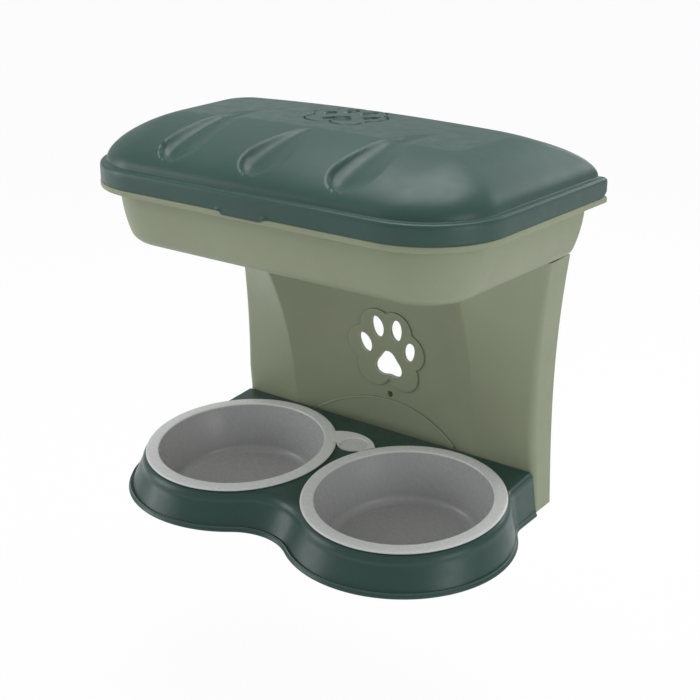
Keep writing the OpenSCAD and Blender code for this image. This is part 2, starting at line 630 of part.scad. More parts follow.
// Wall screws of the bin, from the wall forwards
module wall_hole_places() for (x = [-bin_hole_pitch / 2, bin_hole_pitch / 2]) translate([x, 0, floor_z + bin_hole_h]) rotate([90, 0, 0]) children();

// Tray screws go forwards through the wing faces into the tray. Z points back to the wall.
function wing_face_y(x) =
    let (a = [recess_half(0), -nose_d(0)], b = [column_half(0), -side_d(0)]) mix(a.y, b.y, (x - a.x) / (b.x - a.x));
// Gap at a boss's centre that keeps its flat end off the slanting wing face
function slant_gap(r) = r * (wing_face_y(tray_screw_x + 1) - wing_face_y(tray_screw_x)) + fit_gap;
// How far the wings have come forward at the top of those bosses
wing_rise = nose_d(level(foot_z + max(tray_screw_z) + boss_r)) - nose_d(0);
module tray_screw_places() for (x = [-tray_screw_x, tray_screw_x], z = tray_screw_z) translate([x, wing_face_y(tray_screw_x), foot_z + z]) rotate([-90, 0, 0]) children();
module tray_screws() color(STEEL) tray_screw_places() translate([0, 0, column_wall + slant_gap(screw_head_r)]) joining_screw();

column();
storage_bin();
lid();
bowl_tray();
bowl_left();
bowl_right();
hinge_pins();
bin_screws();
tray_screws();
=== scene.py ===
"""Looks of a wall-hung dog feeder: a lidded bin on a hollow column over a tray with two bowls."""
from __future__ import annotations

import logging
import math
from dataclasses import dataclass, field
from enum import Enum
from typing import Callable, Iterable, Sequence

import bmesh
import bpy
from mathutils import Euler, Matrix, Vector

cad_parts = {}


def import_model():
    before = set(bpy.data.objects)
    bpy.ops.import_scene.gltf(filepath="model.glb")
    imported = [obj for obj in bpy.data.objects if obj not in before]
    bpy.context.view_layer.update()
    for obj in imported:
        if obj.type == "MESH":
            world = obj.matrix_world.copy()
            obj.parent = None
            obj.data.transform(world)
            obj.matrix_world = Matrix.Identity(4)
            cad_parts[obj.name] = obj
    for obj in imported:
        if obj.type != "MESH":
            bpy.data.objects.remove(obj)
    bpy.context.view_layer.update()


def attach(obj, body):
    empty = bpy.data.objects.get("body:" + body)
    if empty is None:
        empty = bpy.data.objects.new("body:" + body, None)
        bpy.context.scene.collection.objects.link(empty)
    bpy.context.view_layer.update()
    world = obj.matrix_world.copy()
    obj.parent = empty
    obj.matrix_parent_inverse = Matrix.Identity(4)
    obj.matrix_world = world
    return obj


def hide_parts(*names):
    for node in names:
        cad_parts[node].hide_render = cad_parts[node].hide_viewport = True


log = logging.getLogger("feeder")

MM = 0.001
SHARP = 32.0
BOTH = (-1, 1)
Point = tuple[float, float]
Spot = tuple[float, float, float]
Plan = list[Point]
Ring = list[Spot]
Inset = tuple[float, float, float]
Colour = tuple[int, int, int]
Vert = bmesh.types.BMVert
Edge = bmesh.types.BMEdge
Skin = bmesh.types.BMesh
Piece = bpy.types.Object
Finish = bpy.types.Material
Socket = bpy.types.NodeSocket


class Body(Enum):
    """The bodies that pieces ride on."""

    STAND = "stand"
    LID = "lid"
    BOWL_LEFT = "bowl_left"
    BOWL_RIGHT = "bowl_right"


class Slot(Enum):
    """The finishes that the record names."""

    SAGE = "sage_plastic"
    PINE = "pine_plastic"
    GREY = "grey_plastic"
    STEEL = "steel"


class Side(Enum):
    """Which way a bowl lies from the middle."""

    LEFT = -1
    RIGHT = 1


# ---------- plane geometry ----------


def mix(a: float, b: float, t: float) -> float:
    """Return the value a share t of the way from a to b."""
    return a + (b - a) * t


def smooth_step(x: float, low: float, high: float) -> float:
    """Rise smoothly from 0 at low to 1 at high."""
    t = min(1.0, max(0.0, (x - low) / (high - low)))
    return t * t * (3 - 2 * t)


def run(a: Point, b: Point, count: int) -> Plan:
    """Return count points between a and b, without the ends."""
    shares = [i / (count + 1) for i in range(1, count + 1)]
    return [(mix(a[0], b[0], t), mix(a[1], b[1], t)) for t in shares]


def full_turn(steps: int) -> list[float]:
    """Return the angles of a full turn in even steps, without the last."""
    return [2 * math.pi * i / steps for i in range(steps)]


def quarter(steps: int) -> list[float]:
    """Return the angles of a quarter turn in even steps, with both ends."""
    return [math.pi / 2 * i / steps for i in range(steps + 1)]


def arc(centre: Point, radius: float, start: float, end: float, steps: int) -> Plan:
    """Return steps + 1 points of an arc.

    Args:
        centre: Middle of the arc.
        radius: Its radius.
        start: First angle in degrees.
        end: Last angle in degrees.
        steps: Number of chords.

    Returns:
        The points from start to end.
    """
    angles = [math.radians(mix(start, end, i / steps)) for i in range(steps + 1)]
    return [(centre[0] + radius * math.cos(a), centre[1] + radius * math.sin(a)) for a in angles]


def fillet(p0: Point, p1: Point, p2: Point, radius: float, steps: int) -> Plan:
    """Round the corner p1 between p0 and p2.

    Args:
        p0: Point before the corner.
        p1: The corner.
        p2: Point after the corner.
        radius: Radius of the rounding.
        steps: Number of chords.

    Returns:
        The points of the rounding, in the order of travel.
    """
    corner = Vector(p1)
    u, v = (Vector(p0) - corner).normalized(), (Vector(p2) - corner).normalized()
    half = math.acos(max(-1.0, min(1.0, u.dot(v)))) / 2
    centre = corner + (u + v).normalized() * radius / math.sin(half)
    a = corner + u * radius / math.tan(half) - centre
    b = corner + v * radius / math.tan(half) - centre
    a0, a1 = math.degrees(math.atan2(a.y, a.x)), math.degrees(math.atan2(b.y, b.x))
    sweep = (a1 - a0 + 540) % 360 - 180
    return arc((centre.x, centre.y), radius, a0, a0 + sweep, steps)


def at_height(plan: Plan, z: float) -> Ring:
    """Lay a plan at one height."""
    return [(x, y, z) for x, y in plan]


def rotation(degrees: float, axis: str) -> Matrix:
    """Return a turn about an axis."""
    return Matrix.Rotation(math.radians(degrees), 4, axis)


def shift(x: float, y: float, z: float) -> Matrix:
    """Return a move, in millimetres."""
    return Matrix.Translation((x, y, z))


# ---------- mesh work ----------


class Loft:
    """A skin that grows ring by ring from the open edge of a bmesh."""

    def __init__(self, first: Ring) -> None:
        """Start with one ring, in millimetres."""
        self.bm = bmesh.new()
        made = bmesh.ops.create_circle(self.bm, cap_ends=False, segments=len(first), radius=1.0)
        self.edge = self._in_order(made["verts"])
        self._place(first)

    @staticmethod
    def _in_order(verts: Sequence[Vert]) -> list[Vert]:
        """Walk round a loop of vertices."""
        order = [verts[0]]
        seen = {verts[0]}
        while len(order) < len(verts):
            nexts = [e.other_vert(order[-1]) for e in order[-1].link_edges]
            step = next(v for v in nexts if v not in seen)
            order.append(step)
            seen.add(step)
        return order

    def _place(self, ring: Ring) -> None:
        """Move the open edge to a ring."""
        for vert, point in zip(self.edge, ring, strict=True):
            vert.co = Vector(point) * MM

    def _edges(self) -> list[Edge]:
        """Return the edges of the open ring."""
        pairs = zip(self.edge, self.edge[1:] + self.edge[:1])
        return [self.bm.edges.get(pair) for pair in pairs]

    def _fill(self, edges: list[Edge], fan: bool) -> None:
        """Close a loop of edges with one face, or with a fan of faces."""
        face = bmesh.ops.contextual_create(self.bm, geom=edges)["faces"]
        if fan:
            bmesh.ops.poke(self.bm, faces=face)

    def grow(self, ring: Ring) -> None:
        """Extrude the open edge to one more ring with as many points."""
        made = bmesh.ops.extrude_edge_only(self.bm, edges=self._edges())["geom"]
        fresh = {v for v in made if isinstance(v, Vert)}
        self.edge = [next(e.other_vert(v) for e in v.link_edges if e.other_vert(v) in fresh)
                     for v in self.edge]
        self._place(ring)

    def close(self, fan: bool) -> None:
        """Close the last ring, and then the first, which is the only one left open."""
        self._fill(self._edges(), fan)
        self._fill([e for e in self.bm.edges if e.is_boundary], fan)


def lofted(rings: Sequence[Ring], fan: bool = False) -> Skin:
    """Loft a closed solid through rings that have as many points each.

    Args:
        rings: The rings in millimetres.
        fan: Whether each end is a fan of faces, and not one face.

    Returns:
        The solid in metres.
    """
    loft = Loft(rings[0])
    for ring in rings[1:]:
        loft.grow(ring)
    loft.close(fan)
    return loft.bm


def mark_sharp(bm: Skin, sharp: float) -> None:
    """Smooth every face, and keep the edges over an angle in degrees sharp."""
    for face in bm.faces:
        face.smooth = True
    for edge in bm.edges:
        edge.smooth = edge.calc_face_angle(0.0) < math.radians(sharp)


def finish_mesh(bm: Skin, name: str, sharp: float = SHARP, turn: bool = True) -> Piece:
    """Make an object at the origin from a bmesh, smooth but for its sharp edges.

    Args:
        bm: The mesh in metres; it is freed.
        name: Name of the piece.
        sharp: Edges over this angle in degrees stay sharp.
        turn: Whether the faces are turned outwards.

    Returns:
        The new object.
    """
    bmesh.ops.remove_doubles(bm, verts=bm.verts[:], dist=1e-6)
    if turn:
        bmesh.ops.recalc_face_normals(bm, faces=bm.faces[:])
    mark_sharp(bm, sharp)
    mesh = bpy.data.meshes.new(name)
    bm.to_mesh(mesh)
    bm.free()
    piece = bpy.data.objects.new(name, mesh)
    bpy.context.scene.collection.objects.link(piece)
    return piece


def carve(piece: Piece, tools: Sequence[Piece], operation: str = "DIFFERENCE") -> None:
    """Cut, join or cross a piece with tools, which are used up.

    Args:
        piece: The object whose mesh is changed.
        tools: Closed objects.
        operation: DIFFERENCE, UNION or INTERSECT.
    """
    for tool in tools:
        modifier = piece.modifiers.new("carve", "BOOLEAN")
        modifier.operation = operation
        modifier.solver = "EXACT"
        modifier.object = tool
    evaluated = piece.evaluated_get(bpy.context.evaluated_depsgraph_get())
    mesh = bpy.data.meshes.new_from_object(evaluated)
    piece.modifiers.clear()
    old, piece.data = piece.data, mesh
    mesh.name = old.name
    bpy.data.meshes.remove(old)
    for tool in tools:
        data = tool.data
        bpy.data.objects.remove(tool)
        bpy.data.meshes.remove(data)


def resharpen(piece: Piece, sharp: float = SHARP) -> None:
    """Mark the sharp edges of a carved piece again."""
    bm = bmesh.new()
    bm.from_mesh(piece.data)
    bmesh.ops.remove_doubles(bm, verts=bm.verts[:], dist=2e-6)
    mark_sharp(bm, sharp)
    bm.to_mesh(piece.data)
    bm.free()


def rod(bm: Skin, place: Matrix, radius: float, low: float, high: float, sides: int = 40) -> None:
    """Add a closed round rod along the local Z of a place.

    Args:
        bm: Mesh that takes the rod.
        place: Frame of the rod, in millimetres.
        radius: Radius in millimetres.
        low: Lower end in millimetres.
        high: Upper end in millimetres.
        sides: Sides of the rod.
    """
    made = bmesh.ops.create_cone(bm, cap_ends=True, segments=sides, radius1=radius, radius2=radius,
                                 depth=high - low)
    verts = made["verts"]
    bmesh.ops.translate(bm, verts=verts, vec=(0, 0, (low + high) / 2))
    bmesh.ops.transform(bm, matrix=Matrix.Scale(MM, 4) @ place, verts=verts)


def rods(name: str, places: Iterable[Matrix], radius: float, low: float, high: float,
         sides: int = 40) -> Piece:
    """Make one object of equal rods, each along the local Z of its place."""
    bm = bmesh.new()
    for place in places:
        rod(bm, place, radius, low, high, sides)
    return finish_mesh(bm, name)


def slab(bm: Skin, outline: Ring, push: Spot) -> None:
    """Add a closed slab: a flat outline pushed along a vector.

    Args:
        bm: Mesh that takes the slab.
        outline: Corners in millimetres.
        push: Vector in millimetres.
    """
    verts = [bm.verts.new(Vector(p) * MM) for p in outline]
    rim = [bm.edges.new((a, b)) for a, b in zip(verts, verts[1:] + verts[:1])]
    base = bmesh.ops.contextual_create(bm, geom=rim)["faces"]
    made = bmesh.ops.extrude_face_region(bm, geom=base, use_keep_orig=True)["geom"]
    top = [v for v in made if isinstance(v, Vert)]
    bmesh.ops.translate(bm, verts=top, vec=Vector(push) * MM)


def turned(bm: Skin, place: Matrix, profile: Plan, steps: int) -> None:
    """Add a turned solid: a profile of (radius, height) spun round the local Z.

    Args:
        bm: Mesh that takes the solid.
        place: Frame of the solid, in millimetres.
        profile: Points in millimetres; the first and last lie on the axis.
        steps: Chords of the full turn.
    """
    before = set(bm.verts)
    verts = [bm.verts.new((r, 0.0, z)) for r, z in profile]
    edges = [bm.edges.new((a, b)) for a, b in zip(verts, verts[1:])]
    bmesh.ops.spin(bm, geom=verts + edges, cent=(0, 0, 0), axis=(0, 0, 1), angle=2 * math.pi,
                   steps=steps, use_merge=True, use_duplicate=False)
    bmesh.ops.remove_doubles(bm, verts=[v for v in bm.verts if v not in before], dist=1e-4)
    fresh = [v for v in bm.verts if v not in before]
    bmesh.ops.transform(bm, matrix=Matrix.Scale(MM, 4) @ place, verts=fresh)


# ---------- finishes ----------


def linear(red: int, green: int, blue: int) -> tuple[float, float, float, float]:
    """Turn a screen colour into the shader's linear one."""

    def one(value: int) -> float:
        c = value / 255
        return c / 12.92 if c <= 0.04045 else ((c + 0.055) / 1.055) ** 2.4

    return one(red), one(green), one(blue), 1.0


class Nodes:
    """A material's node tree with short calls."""

    def __init__(self, name: str) -> None:
        """Make an empty material with its shader."""
        self.material = bpy.data.materials.new(name)
        self.material.use_nodes = True
        self.tree = self.material.node_tree
        self.shader = self.tree.nodes["Principled BSDF"]
        self.place = self.add("ShaderNodeTexCoord").outputs["Object"]

    def add(self, kind: str, **values: float | str | bool | tuple) -> bpy.types.Node:
        """Add a node and set its inputs or properties by name."""
        node = self.tree.nodes.new(kind)
        for key, value in values.items():
            socket = node.inputs.get(key.replace("_", " "))
            if socket is not None:
                socket.default_value = value
            else:
                setattr(node, key, value)
        return node

    def link(self, source: Socket, target: Socket) -> None:
        """Join two sockets."""
        self.tree.links.new(source, target)

    def noise(self, scale: float, detail: float) -> Socket:
        """Return the value of a noise on the object's own coordinates."""
        node = self.add("ShaderNodeTexNoise", Scale=scale, Detail=detail, Roughness=0.55)
        self.link(self.place, node.inputs["Vector"])
        return node.outputs["Fac"]

    def spread(self, source: Socket, low: float, high: float, start: float = 0.3,
               end: float = 0.7) -> Socket:
        """Map a value onto a range.

        Args:
            source: Value to map.
            low: Result at start.
            high: Result at end.
            start: Value that gives low.
            end: Value that gives high.

        Returns:
            The mapped value.
        """
        node = self.add("ShaderNodeMapRange")
        limits = (("From Min", start), ("From Max", end), ("To Min", low), ("To Max", high))
        for key, value in limits:
            node.inputs[key].default_value = value
        self.link(source, node.inputs["Value"])
        return node.outputs["Result"]

    def blend(self, share: Socket, first: tuple | Socket, second: tuple) -> Socket:
        """Mix two colours by a share; the first can be the result of another blend."""
        node = self.add("ShaderNodeMix", data_type="RGBA")
        self.link(share, node.inputs[0])
        if isinstance(first, Socket):
            self.link(first, node.inputs[6])
        else:
            node.inputs[6].default_value = first
        node.inputs[7].default_value = second
        return node.outputs[2]

    def shine(self, source: Socket, low: float, high: float) -> None:
        """Let a value drive the roughness between two limits."""
        self.link(self.spread(source, low, high), self.shader.inputs["Roughness"])

    def bump(self, heights: Sequence[tuple[Socket, float]]) -> None:
        """Chain bumps, each with its depth in metres, into the shader."""
        normal = None
        for height, depth in heights:
            node = self.add("ShaderNodeBump", Strength=1.0, Distance=depth)
            self.link(height, node.inputs["Height"])
            if normal is not None:
                self.link(normal, node.inputs["Normal"])
            normal = node.outputs["Normal"]
        self.link(normal, self.shader.inputs["Normal"])


@dataclass(frozen=True)
class MouldedPlastic:
    """Satin injection-moulded plastic with a spark-eroded grain."""

    name: str
    colour: Colour
    deep: Colour
    roughness: float
    specular: float
    grain: float = 1500.0
    grain_depth: float = 0.00003

    def build(self) -> Finish:
        """Build the material."""
        n = Nodes(self.name)
        deep = linear(*self.deep)
        cloud = n.spread(n.noise(9.0, 3.0), 0.0, 1.0)
        specks = n.spread(n.noise(420.0, 2.0), 0.0, 0.35)
        colour = n.blend(cloud, linear(*self.colour), deep)
        n.link(n.blend(specks, colour, deep), n.shader.inputs["Base Color"])
        n.shine(n.noise(60.0, 5.0), self.roughness - 0.05, self.roughness + 0.07)
        n.bump([(n.noise(self.grain, 3.0), self.grain_depth), (n.noise(22.0, 2.0), 0.00025)])
        n.shader.inputs["Specular IOR Level"].default_value = self.specular
        return n.material


@dataclass(frozen=True)
class BowlPlastic:
    """Smooth bowl plastic with fine wear scratches; its lighter rim grey is painted light and its
    deeper grey inside the bowl is painted shade.
    """

    name: str
    # rim is the plastic's grey as painted light; inside is the same plastic as painted shade; the
    # height and fade below set the line between them.
    rim: Colour
    inside: Colour
    shade_line_z: float
    shade_fade_depth: float
    tilt: float
    roughness: float = 0.2

    def build(self) -> Finish:
        """Build the material."""
        n = Nodes(self.name)
        # Painted shade: below a tilted line just under the rim's top, the colour turns from the
        # lighter rim grey to the deeper inside grey.
        parts = n.add("ShaderNodeSeparateXYZ")
        tilt = n.add("ShaderNodeMapping")
        tilt.inputs["Location"].default_value = (0.0, 0.0, -self.shade_line_z)
        tilt.inputs["Rotation"].default_value = (math.radians(-self.tilt), 0.0, 0.0)
        n.link(n.place, tilt.inputs["Vector"])
        n.link(tilt.outputs["Vector"], parts.inputs["Vector"])
        level = n.spread(parts.outputs["Z"], 1.0, 0.0, -self.shade_fade_depth, 0.0)
        inside = linear(*self.inside)
        colour = n.blend(level, linear(*self.rim), inside)
        specks = n.spread(n.noise(300.0, 2.0), 0.0, 0.12)
        n.link(n.blend(specks, colour, inside), n.shader.inputs["Base Color"])
        scratch = n.add("ShaderNodeTexNoise", Scale=130.0, Detail=6.0, Roughness=0.7)
        stretch = n.add("ShaderNodeMapping")
        stretch.inputs["Scale"].default_value = (1.0, 9.0, 1.0)
        n.link(n.place, stretch.inputs["Vector"])
        n.link(stretch.outputs["Vector"], scratch.inputs["Vector"])
        n.shine(scratch.outputs["Fac"], self.roughness, self.roughness + 0.14)
        n.bump([(n.noise(900.0, 3.0), 0.000003), (scratch.outputs["Fac"], 0.000005)])
        n.shader.inputs["Specular IOR Level"].default_value = 0.5
        return n.material


@dataclass(frozen=True)
class ZincSteel:
    """Zinc-plated steel with a drawn grain."""

    name: str
    colour: Colour
    bloom: Colour

    def build(self) -> Finish:
        """Build the material."""
        n = Nodes(self.name)
        stretch = n.add("ShaderNodeMapping")
        stretch.inputs["Scale"].default_value = (120.0, 2600.0, 2600.0)
        n.link(n.place, stretch.inputs["Vector"])
        grain = n.add("ShaderNodeTexNoise", Scale=1.0, Detail=3.0)
        n.link(stretch.outputs["Vector"], grain.inputs["Vector"])
        bloom = n.spread(n.noise(400.0, 4.0), 0.0, 1.0)
        colour = n.blend(bloom, linear(*self.colour), linear(*self.bloom))
        n.link(colour, n.shader.inputs["Base Color"])
        n.shine(grain.outputs["Fac"], 0.24, 0.42)
        n.bump([(grain.outputs["Fac"], 0.00001)])
        n.shader.inputs["Metallic"].default_value = 1.0
        return n.material


@dataclass
class Palette:
    """The finishes of the whole feeder."""

    sage: Finish = field(init=False)
    pine: Finish = field(init=False)
    pine_tray: Finish = field(init=False)
    stone: Finish = field(init=False)
    zinc: Finish = field(init=False)

    def __post_init__(self) -> None:
        """Build every finish once."""
        self.sage = MouldedPlastic("sage_moulded", (147, 155, 130), (141, 149, 124),
                                   roughness=0.46, specular=0.4).build()
        self.pine = MouldedPlastic("pine_moulded_lid", (50, 82, 75), (46, 76, 69),
                                   roughness=0.36, specular=0.4).build()
        self.pine_tray = MouldedPlastic("pine_moulded_tray", (45, 76, 70), (41, 70, 64),
                                        roughness=0.34, specular=0.42).build()
        size = BowlSize()
        # The bowls' lighter rim grey is painted light and their deeper inside grey is painted
        # shade.
        self.stone = BowlPlastic("stone_bowl", (226, 227, 228), (176, 176, 178),
                                 size.rim_plane * MM, shade_fade_depth=0.0016, tilt=size.tilt).build()
        self.zinc = ZincSteel("zinc_steel", (176, 180, 186), bloom=(140, 140, 132)).build()


def dress(piece: Piece, material: Finish, body: Body, slot: Slot, *nodes: str) -> None:
    """Give a piece its finish and its body, and hide the CAD nodes that it stands for.

    Args:
        piece: The finished piece.
        material: Its finish.
        body: The body that it rides on.
        slot: Its material slot in the record; it is not used.
        nodes: CAD nodes that it replaces.
    """
    piece.data.materials.clear()
    piece.data.materials.append(material)
    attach(piece, body.value)
    if nodes:
        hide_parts(*nodes)
    log.info("%s: %d faces, rides on %s", piece.name, len(piece.data.polygons), body.value)


# ---------- heights, joints and bores, in millimetres ----------

FOOT_Z = -94.0
FLOOR_Z = 223.0
SEAT_Z = 297.0
HINGE_X = 170.0
HINGE_Y = 18.0
HINGE_H = 14.0
TRAY_SCREW_X = 168.0
TRAY_SCREW_H = (14.0, 34.0)
BIN_SCREW_X = 186.0
BIN_SCREW_Y = (26.0, 62.0)
SCREW_BORE_R = 2.05
PIN_BORE_R = 2.08
WALL_BORE_R = 2.75
WALL_SEAT_R = 4.3
SCREW_BOSS_R = 5.5
WALL_BOSS_R = 8.0
AHEAD = rotation(90, "X")
ACROSS = rotation(90, "Y")


def tray_screw_spots(y: float, sides: Sequence[int] = BOTH) -> list[Matrix]:
    """Return the places of the tray's screws at a depth."""
    return [shift(side * TRAY_SCREW_X, y, FOOT_Z + h) for side in sides for h in TRAY_SCREW_H]


def bin_screw_spots(z: float, sides: Sequence[int] = BOTH) -> list[Matrix]:
    """Return the places of the bin's screws at a height."""
    return [shift(side * BIN_SCREW_X, -y, z) for side in sides for y in BIN_SCREW_Y]


def hinge_place(side: int) -> Matrix:
    """Return the frame of a hinge pin, with its Z across the feeder."""
    return shift(side * HINGE_X, -HINGE_Y, SEAT_Z + HINGE_H) @ ACROSS


# ---------- paw and column ----------


@dataclass
class PawMark:
    """A paw of four toes and a three-lobed pad, in tenths of its width."""

    width: float = 86.0
    toes: tuple[tuple[float, float, float, float, float], ...] = (
        (-3.85, 0.55, 1.0, 1.62, 20), (-1.62, 3.45, 1.05, 1.72, 8),
        (1.62, 3.45, 1.05, 1.72, -8), (3.85, 0.55, 1.0, 1.62, -20))
    pad_lobes: tuple[Point, ...] = ((-2.5, -3.3), (2.5, -3.3))

    @property
    def unit(self) -> float:
        """A tenth of the width, in millimetres."""
        return self.width / 10

    def toe(self, index: int, steps: int) -> Plan:
        """Return the outline of one toe, in millimetres."""
        cx, cz, wide, tall, lean = self.toes[index]
        c, s = math.cos(math.radians(lean)), math.sin(math.radians(lean))
        outline = []
        for a in full_turn(steps):
            px = wide * math.cos(a)
            pz = tall * math.sin(a) * (1 + 0.12 * math.cos(a) * math.copysign(1, cx))
            outline.append((self.unit * (cx + px * c - pz * s), self.unit * (cz + px * s + pz * c)))
        return outline

    def pad(self, steps: int) -> Plan:
        """Return the outline of the pad, in millimetres."""
        outline = []
        for a in full_turn(steps):
            r = 2.1 + 0.32 * math.cos(3 * (a - math.pi / 2)) + 0.16 * math.cos(2 * a)
            outline.append((self.unit * r * math.cos(a), self.unit * (r * math.sin(a) - 2.4)))
        return outline

    def outlines(self, toe_steps: int = 40, pad_steps: int = 60) -> list[Plan]:
        """Return the outlines of the toes and the pad, in millimetres."""
        return [self.toe(i, toe_steps) for i in range(len(self.toes))] + [self.pad(pad_steps)]

    def scallop(self, reach: float, steps: int = 240) -> Plan:
        """Return the scalloped line round the paw.

        Args:
            reach: Radius of each scallop in millimetres.
            steps: Number of points.

        Returns:
            The outline round the paw's own middle.
        """
        centres = [toe[:2] for toe in self.toes] + list(self.pad_lobes)
        lobes = [(x * self.unit, z * self.unit) for x, z in centres]
        outline = []
        for a in full_turn(steps):
            best = 0.0
            for x, z in lobes:
                along = x * math.cos(a) + z * math.sin(a)
                across = x * math.sin(a) - z * math.cos(a)
                if abs(across) < reach:
                    best = max(best, along + math.sqrt(reach * reach - across * across))
            outline.append((best * math.cos(a), best * math.sin(a)))
        return outline


@dataclass
class Column:
    """The hollow stand: two wings that sweep forward under the bin, with a recess between them."""

    width: float = 447.5
    spread: float = 13.0
    waist: float = 9.5
    height: float = 317.0
    foot_depth: float = 41.0
    nose_sweep: float = 92.0
    sweep_power: float = 2.6
    recess_width: float = 272.0
    recess_spread: float = 22.0
    recess_depth: float = 20.0
    recess_sweep: float = 34.0
    side_sweep: float = 4.0
    corner_r: float = 9.0
    nose_r: float = 6.0
    fold: float = 22.0
    wall: float = 3.2
    plate: float = 4.0
    rib_x: float = 92.0
    rib_thick: float = 2.4
    moon_top: float = 86.0
    moon_end: float = 54.0
    moon_inset: float = 30.0
    moon_proud: float = 2.0
    paw_z: float = 62.0
    frame_reach: float = 24.5
    frame_proud: float = 2.2
    sharp: float = 28.0
    paw: PawMark = field(default_factory=PawMark)

    @property
    def moon_half(self) -> float:
        """Half the width of the half-moon panel at its straight ends."""
        return self.recess_width / 2 - self.moon_inset

    @property
    def moon_r(self) -> float:
        """Radius of the half-moon's arc."""
        rise = self.moon_top - self.moon_end
        return (self.moon_half ** 2 + rise ** 2) / (2 * rise)

    def sweep(self, t: float) -> float:
        """Return how far the forward sweep has come at a share of the height."""
        return t ** self.sweep_power

    def level(self, z: float) -> float:
        """Return the share of the height at z."""
        return min(1.0, max(0.0, (z - FOOT_Z) / self.height))

    def nose_depth(self, t: float) -> float:
        """Return the depth of the wing noses."""
        return self.foot_depth + self.nose_sweep * self.sweep(t)

    def recess_half(self, t: float) -> float:
        """Return half the width of the recess."""
        return (self.recess_width + self.recess_spread * t * t) / 2

    def half_width(self, t: float) -> float:
        """Return half the width of the column."""
        return (self.width - self.waist * math.sin(math.pi * t) + self.spread * t ** 4) / 2

    def side_depth(self, t: float) -> float:
        """Return the depth of the side faces."""
        return self.foot_depth - 0.5 + self.side_sweep * min(1.0, 10 * max(0.0, t - 0.182))

    def wall_depth(self, x: float, z: float) -> float:
        """Return the distance of the recess wall's face from the wall of the house."""
        t = self.level(z)
        s = min(1.0, abs(x) / self.recess_half(t))
        middle = self.recess_depth + self.recess_sweep * self.sweep(t)
        return middle + (self.nose_depth(t) - middle) * s * s

    def moon_levels(self, count: int = 18) -> list[float]:
        """Return the heights over the foot at which the arc of the half-moon is cut."""
        turn = math.asin(self.moon_half / self.moon_r)
        return [self.moon_top - self.moon_r * (1 - math.cos(turn * (1 - i / count)))
                for i in range(count)]

    @property
    def moon_last(self) -> float:
        """Height over the foot of the last cut through the half-moon."""
        return self.moon_levels()[-1]

    def moon_x(self, h: float) -> float:
        """Return half the width of the half-moon at a height over the foot."""
        if h <= self.moon_end:
            return self.moon_half
        if h <= self.moon_top + 1:
            rise = min(h, self.moon_last) - self.moon_top + self.moon_r
            return math.sqrt(self.moon_r ** 2 - rise ** 2)
        return self.moon_half / 3

    def moon_out(self, h: float) -> float:
        """Return how far the half-moon stands proud at a height over the foot."""
        return self.moon_proud if h <= self.moon_last + 0.01 else 0.0

    def front_half(self, z: float) -> Plan:
        """Return the right half of the front line, from the wall to near the middle."""
        t, h = self.level(z), z - FOOT_Z
        w, nose_x = self.half_width(t), self.recess_half(t)
        fold_x = nose_x - self.fold
        side, nose = (w, -self.side_depth(t)), (nose_x, -self.nose_depth(t))
        inner = (fold_x, -self.wall_depth(fold_x, z))
        corner = fillet((w, 0.0), side, nose, self.corner_r, 8)
        tip = fillet(side, nose, inner, self.nose_r, 8)
        m, out = self.moon_x(h), self.moon_out(h)
        outer = [fold_x] + [mix(fold_x, m + 0.5, k / 12) for k in range(1, 12)] + [m + 0.5]
        middle = [(m - 0.5) * (1 - k / 9) for k in range(9)]
        return ([(w, 0.0)] + corner + run(corner[-1], tip[0], 9) + tip
                + [(x, -self.wall_depth(x, z)) for x in outer]
                + [(x, -self.wall_depth(x, z) - out) for x in middle])

    def front_line(self, z: float) -> Plan:
        """Return the whole front line, from right to left."""
        half = self.front_half(z)
        middle = (0.0, -self.wall_depth(0, z) - self.moon_out(z - FOOT_Z))
        return half + [middle] + [(-x, y) for x, y in reversed(half)]

    def _behind(self, line: Plan, i: int) -> Point:
        """Return the point inside the moulded wall behind a point of the front line."""
        x, y = line[i]
        if i in (0, len(line) - 1):
            return x - math.copysign(self.wall, x), 0.0
        u = (Vector(line[i + 1]) - Vector(line[i - 1])).normalized()
        return x + self.wall * u.y, min(-0.01, y - self.wall * u.x)

    def ring(self, z: float, closed: bool = False) -> Ring:
        """Return one ring: the front line, and back inside it or, if closed, along the rear."""
        line = self.front_line(z)
        last = len(line) - 1
        if closed:
            back = [(line[0][0] * (1 - 2 * i / last) * 0.999, 0.0) for i in range(last + 1)]
        else:
            back = [self._behind(line, i) for i in range(last + 1)]
        return at_height(list(reversed(line)) + back, z)

    def shell(self) -> Piece:
        """Loft the moulded shell with its half-moon panel, ribs, boss and paw cut-out."""
        plate_z = FLOOR_Z - self.plate
        heights = [0.0, 0.8, self.moon_end / 2] + self.moon_levels()
        heights += [mix(self.moon_top + 0.5, plate_z - FOOT_Z, i / 46) for i in range(46)]
        rings = [self.ring(FLOOR_Z, True), self.ring(plate_z + 0.4, True), self.ring(plate_z)]
        rings += [self.ring(FOOT_Z + h) for h in reversed(heights)]
        shell = finish_mesh(lofted(rings), "column_shell", self.sharp)
        carve(shell, [self._ribs()], "UNION")
        carve(shell, self._cutters())
        resharpen(shell, self.sharp)
        return shell

    def _ribs(self) -> Piece:
        """Build the two ribs behind the recess and the boss of the wall screw."""
        bm = bmesh.new()
        zs = [mix(FOOT_Z + 2, FLOOR_Z - 2, i / 24) for i in range(25)]
        for side in BOTH:
            x = side * self.rib_x - self.rib_thick / 2
            front = [(x, -self.wall_depth(x, z) + self.wall / 2, z) for z in zs]
            slab(bm, [(x, 0.0, zs[-1]), (x, 0.0, zs[0])] + front, (self.rib_thick, 0, 0))
        rod(bm, AHEAD, WALL_BOSS_R, 0.0, self.wall_depth(0, 0) - 1, 48)
        return finish_mesh(bm, "column_ribs")

    def _paw_cutter(self) -> Piece:
        """Build the solid that cuts the paw."""
        bm = bmesh.new()
        for outline in self.paw.outlines():
            slab(bm, [(x, -120.0, z + self.paw_z) for x, z in outline], (0, 140, 0))
        return finish_mesh(bm, "paw_cutter")

